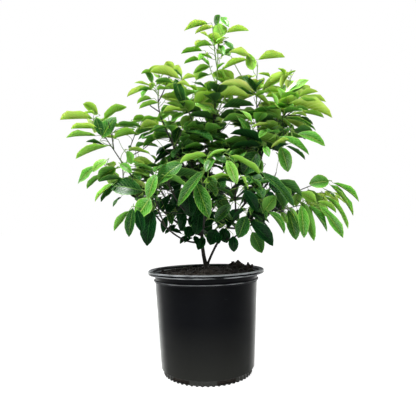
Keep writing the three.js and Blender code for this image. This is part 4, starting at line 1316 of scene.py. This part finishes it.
roll = dice(901)
for name, bow in bows.items():
    if name != "trunk":
        turn = roll(0, FULL_TURN)
        for share in INNER_SHARES:
            turn += GOLDEN_ANGLE
            fine = side_bow(bow, share, turn, roll(*INNER_REACH), FINE_ANGLE)
            risen = (fine.tip.z - INNER_LOW_AT) / (INNER_HIGH_AT - INNER_LOW_AT)
            tone = mix(INNER_LOW_TONE, INNER_HIGH_TONE, kept(risen))
            length = LEAF_LENGTH * roll(*INNER_SIZE)
            leaves_along(fine, FIRST_ON_INNER, INNER_LEAVES, length, tone, roll, INNER_ROOM)
            if fine in leafy_ends:
                brown_parts.append(twig(fine, 0, leafy_ends[fine], FINE_RADII, fine_tube))

for name, (shoots, _) in growth.items():
    height = MASSES[name][2][2]
    risen = (height - GREEN_LOW_AT) / (GREEN_HIGH_AT - GREEN_LOW_AT)
    green_from = mix(GREEN_LOW, GREEN_HIGH, kept(risen))
    for shoot in shoots:
        end = min(1, leafy_ends[shoot] + PAST_LEAF)
        brown_parts.append(twig(shoot, 0, min(green_from, end), SHOOT_RADII, shoot_tube))
        if end > green_from:
            green_parts.append(twig(shoot, green_from - GREEN_OVERLAP, end, SHOOT_RADII, shoot_tube))

roll = dice(77)
open_blades = [blade_shape(roll, *OPEN_LIMITS) for _ in range(OPEN_SHAPES)]
cupped_blades = [blade_shape(roll, *CUPPED_LIMITS) for _ in range(CUPPED_SHAPES)]
blades = {name: [] for name, *_ in TONES}
for index, (root, along, face, length, tone, width, cupped) in enumerate(crown.leaves):
    spread = roll(-1.0, 1.0) + roll(-0.5, 0.5)
    spread *= SHOWN_TONE_SPREAD if index < shown_leaves else TONE_SPREAD
    tone_name = TONES[min(len(TONES) - 1, max(0, round(tone + spread)))][0]
    base = root + along * length * STALK_SHARE
    family = cupped_blades if cupped else open_blades
    points, faces, kinds, uv = family[index % len(family)]
    sizes = length * (1 - STALK_SHARE) * np.array((1, width, 1))
    axes = np.array((along[:], face.cross(along)[:], face[:]))
    spots = (points * sizes) @ axes + np.array(base)
    blades[tone_name].append((spots, faces, kinds, uv))
    stalk = Bow(root, root + (along + UP * STALK_RISE) * length * STALK_SHARE / 2, base + along * 0.001)
    green_parts.append(twig(stalk, 0, 1, STALK_RADII, stalk_tube))

skin_inputs = {
    "Blade": (0.1, 0.3, 0.05, 1),
    "Vein": (0.3, 0.5, 0.1, 1),
    "Veining": 0.5,
    "Gloss": 0.4,
}
skin_group, look, given = new_group("leaf_skin", skin_inputs)
on_leaf = look.node("UVMap", {"uv_map": "leaf"}).outputs["UV"]
from_rib = look.maths("ABSOLUTE", look.maths("SUBTRACT", look.axis(on_leaf, "Y"), 0.5))
down_leaf = look.maths("MULTIPLY", look.axis(on_leaf, "X"), 9.0)
slanted = look.maths("FRACT", look.maths("MULTIPLY_ADD", from_rib, -6.0, down_leaf))
in_vein = look.maths("ABSOLUTE", look.maths("SUBTRACT", slanted, 0.5))
veins = look.between(in_vein, 0.13, 0.02)
# Painted highlight: a pale band along each leaf's edge, where a glossy rim would catch the light; the
# veins are mixed in with it.
margin_highlight = look.between(from_rib, 0.43, 0.49)
mottle = look.clouds(21.0, 2.0)
speckle = look.clouds(300.0, 3.0)
blade = given["Blade"]
# Painted shade and light: each blade is painted darker by its midrib and paler towards its edges, as a
# folded leaf is shaded in its fold and lit along its rim, with random mottling mixed in.
shaded_blade = look.node("HueSaturation", Hue=0.503, Saturation=1.15, Value=0.42, Color=blade)
lit_blade = look.node("HueSaturation", Hue=0.488, Saturation=0.96, Value=1.45, Color=blade)
edge_light_and_mottle = look.maths("MULTIPLY_ADD", from_rib, 1.4, look.maths("MULTIPLY", mottle, 0.5))
edge_light_and_mottle_share = look.between(edge_light_and_mottle, 0.25, 0.88)
shaded_and_mottled = look.mixed(edge_light_and_mottle_share, shaded_blade.outputs["Color"], lit_blade.outputs["Color"])
speckled = look.mixed(look.between(speckle, 0.4, 0.75, 0.0, 0.12), shaded_and_mottled, given["Vein"])
veined = look.maths("MULTIPLY", veins, given["Veining"])
veins_and_margin_highlight = look.maths("MAXIMUM", veined, look.maths("MULTIPLY", margin_highlight, 0.55))
hand_out(
    look,
    Colour=look.mixed(veins_and_margin_highlight, speckled, given["Vein"]),
    Roughness=look.maths("ADD", look.between(speckle, 0.3, 0.7, -0.06, 0.08), given["Gloss"]),
    Relief=look.maths("MULTIPLY_ADD", veins, -0.6, look.maths("MULTIPLY", speckle, 0.25)),
)
# Each side of a leaf: its name, how strong its veins are, its roughness, its shine and its relief.
SIDES = (
    ("_upper", 0.3, 0.27, 0.6, 0.35),
    ("_lower", 0.35, 0.62, 0.15, 0.5),
    ("_rib", 0.0, 0.5, 0.2, 0.2),
)

for tone_index, (tone_name, upper, lower, rib) in enumerate(TONES):
    parts = blades[tone_name]
    age = tone_index / (len(TONES) - 1)
    piece = join(tone_name + "_leaves", [(points, faces) for points, faces, _, _ in parts])
    kinds = np.concatenate([kinds for _, _, kinds, _ in parts])
    piece.data.polygons.foreach_set("material_index", kinds)
    layer = piece.data.uv_layers.new(name="leaf")
    layer.data.foreach_set("uv", np.concatenate([uv for _, _, _, uv in parts]).ravel())
    for blade, (side, veining, gloss, shine, relief) in zip((upper, lower, rib), SIDES):
        inputs = {"Blade": blade, "Vein": rib, "Veining": veining, "Gloss": gloss}
        material, shader = group_material(tone_name + side, skin_group, relief, 0.0006, **inputs)
        shader["Subsurface Weight"].default_value = mix(0.25, 0.05, age)
        shader["Subsurface Radius"].default_value = (0.5, 1.0, 0.1)
        shader["Subsurface Scale"].default_value = 0.001
        shader["Specular IOR Level"].default_value = mix(shine, 0.07, age)
        piece.data.materials.append(material)
    piece.data.update()
    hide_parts(*MASSES)


# ---- brown and green twigs ----
# What carries the leaves: thin brown bark on the shoots and twigs of last year, a smooth green rind
# on this year's and on the leaf stalks. Each kind is joined into one piece, fixed by its forks.
young_bark = bark_material("young_bark", paint(26, 26, 17), paint(66, 68, 42), 0.5)
brown_twigs = join("brown_twigs", brown_parts, 80)
brown_twigs.data.materials.append(young_bark)
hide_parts(*MASSES)
green_rind = bark_material("green_rind", paint(104, 142, 54), paint(150, 182, 88), 0.3)
green_twigs = join("green_twigs", green_parts, 80)
green_twigs.data.materials.append(green_rind)
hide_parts(*MASSES)


# ---- studio ----
# A wide pale floor that runs on into a white surround, one soft light overhead in front, a weak one
# low in front, and one on each side behind, which adds to the painted sheen on the pale edges of the
# pot.
FLOOR_REACH = 40.0
FLOOR_GLOW = 0.93
LENS_MM = 34.2
SENSOR_MM = 36
floor_bm = bmesh.new()
bmesh.ops.create_grid(floor_bm, x_segments=1, y_segments=1, size=FLOOR_REACH)
floor = bpy.data.objects.new("floor", mesh_of("floor", floor_bm))
bpy.context.scene.collection.objects.link(floor)
floor_material, look = new_look("pale_floor")
floor_shader = look.tree.nodes["Principled BSDF"]
floor_shader.inputs["Base Color"].default_value = (0.75, 0.75, 0.74, 1)
floor_shader.inputs["Roughness"].default_value = 0.8
bright = look.node("BsdfPrincipled")
bright.inputs["Base Color"].default_value = (0.25, 0.25, 0.25, 1)
bright.inputs["Emission Color"].default_value = (1, 1, 1, 1)
bright.inputs["Emission Strength"].default_value = FLOOR_GLOW
straight = look.node("LightPath").outputs["Is Camera Ray"]
both = look.node("MixShader", i0=straight, i1=floor_shader.outputs[0], i2=bright.outputs[0])
look.feed(both.outputs[0], look.tree.nodes["Material Output"].inputs["Surface"])
floor.data.materials.append(floor_material)

# Each light: its place, the height it is aimed at, its size and its watts.
LIGHTS = {
    "key": ((-0.35, -1.0, 2.1), 0.5, 0.6, 72),
    "front_fill": ((0.2, -1.7, 0.12), 0.62, 1.0, 9),
    "left_fill": ((-1.9, 1.5, 0.8), 0.35, 1.6, 34),
    "right_fill": ((1.9, 1.5, 0.8), 0.35, 1.6, 30),
}
for name, (spot, aim, size, watts) in LIGHTS.items():
    lamp = bpy.data.lights.new(name, "AREA")
    lamp.size = size
    lamp.energy = watts
    holder = bpy.data.objects.new(name, lamp)
    holder.location = spot
    holder.rotation_mode = "QUATERNION"
    holder.rotation_quaternion = (Vector((0, 0, aim)) - Vector(spot)).to_track_quat("-Z", "Y")
    bpy.context.scene.collection.objects.link(holder)

world = bpy.data.worlds.new("white_surround")
world.use_nodes = True
bpy.context.scene.world = world
look = Look(world.node_tree)
backdrop = world.node_tree.nodes["Background"]
backdrop.inputs["Strength"].default_value = 1.0
facing = look.node("TexCoord").outputs["Generated"]
behind = look.between(look.axis(facing, "Y"), -0.5, 0.6)
studio = look.mixed(behind, (0.05, 0.05, 0.05, 1), (0.22, 0.22, 0.23, 1))
studio = look.mixed(look.between(look.axis(facing, "Z"), 0.3, 0.95), studio, (0.34, 0.34, 0.36, 1))
straight = look.node("LightPath").outputs["Is Camera Ray"]
look.feed(look.mixed(straight, studio, (1, 1, 1, 1)), backdrop.inputs["Color"])
bpy.context.scene.view_settings.view_transform = "Standard"

camera = bpy.data.cameras.new("camera")
camera.lens = LENS_MM
camera.sensor_width = SENSOR_MM
camera_holder = bpy.data.objects.new("camera", camera)
camera_holder.matrix_world = Matrix.Translation(VIEW_SPOT) @ VIEW_TURN.to_4x4()
bpy.context.scene.collection.objects.link(camera_holder)
bpy.context.scene.camera = camera_holder
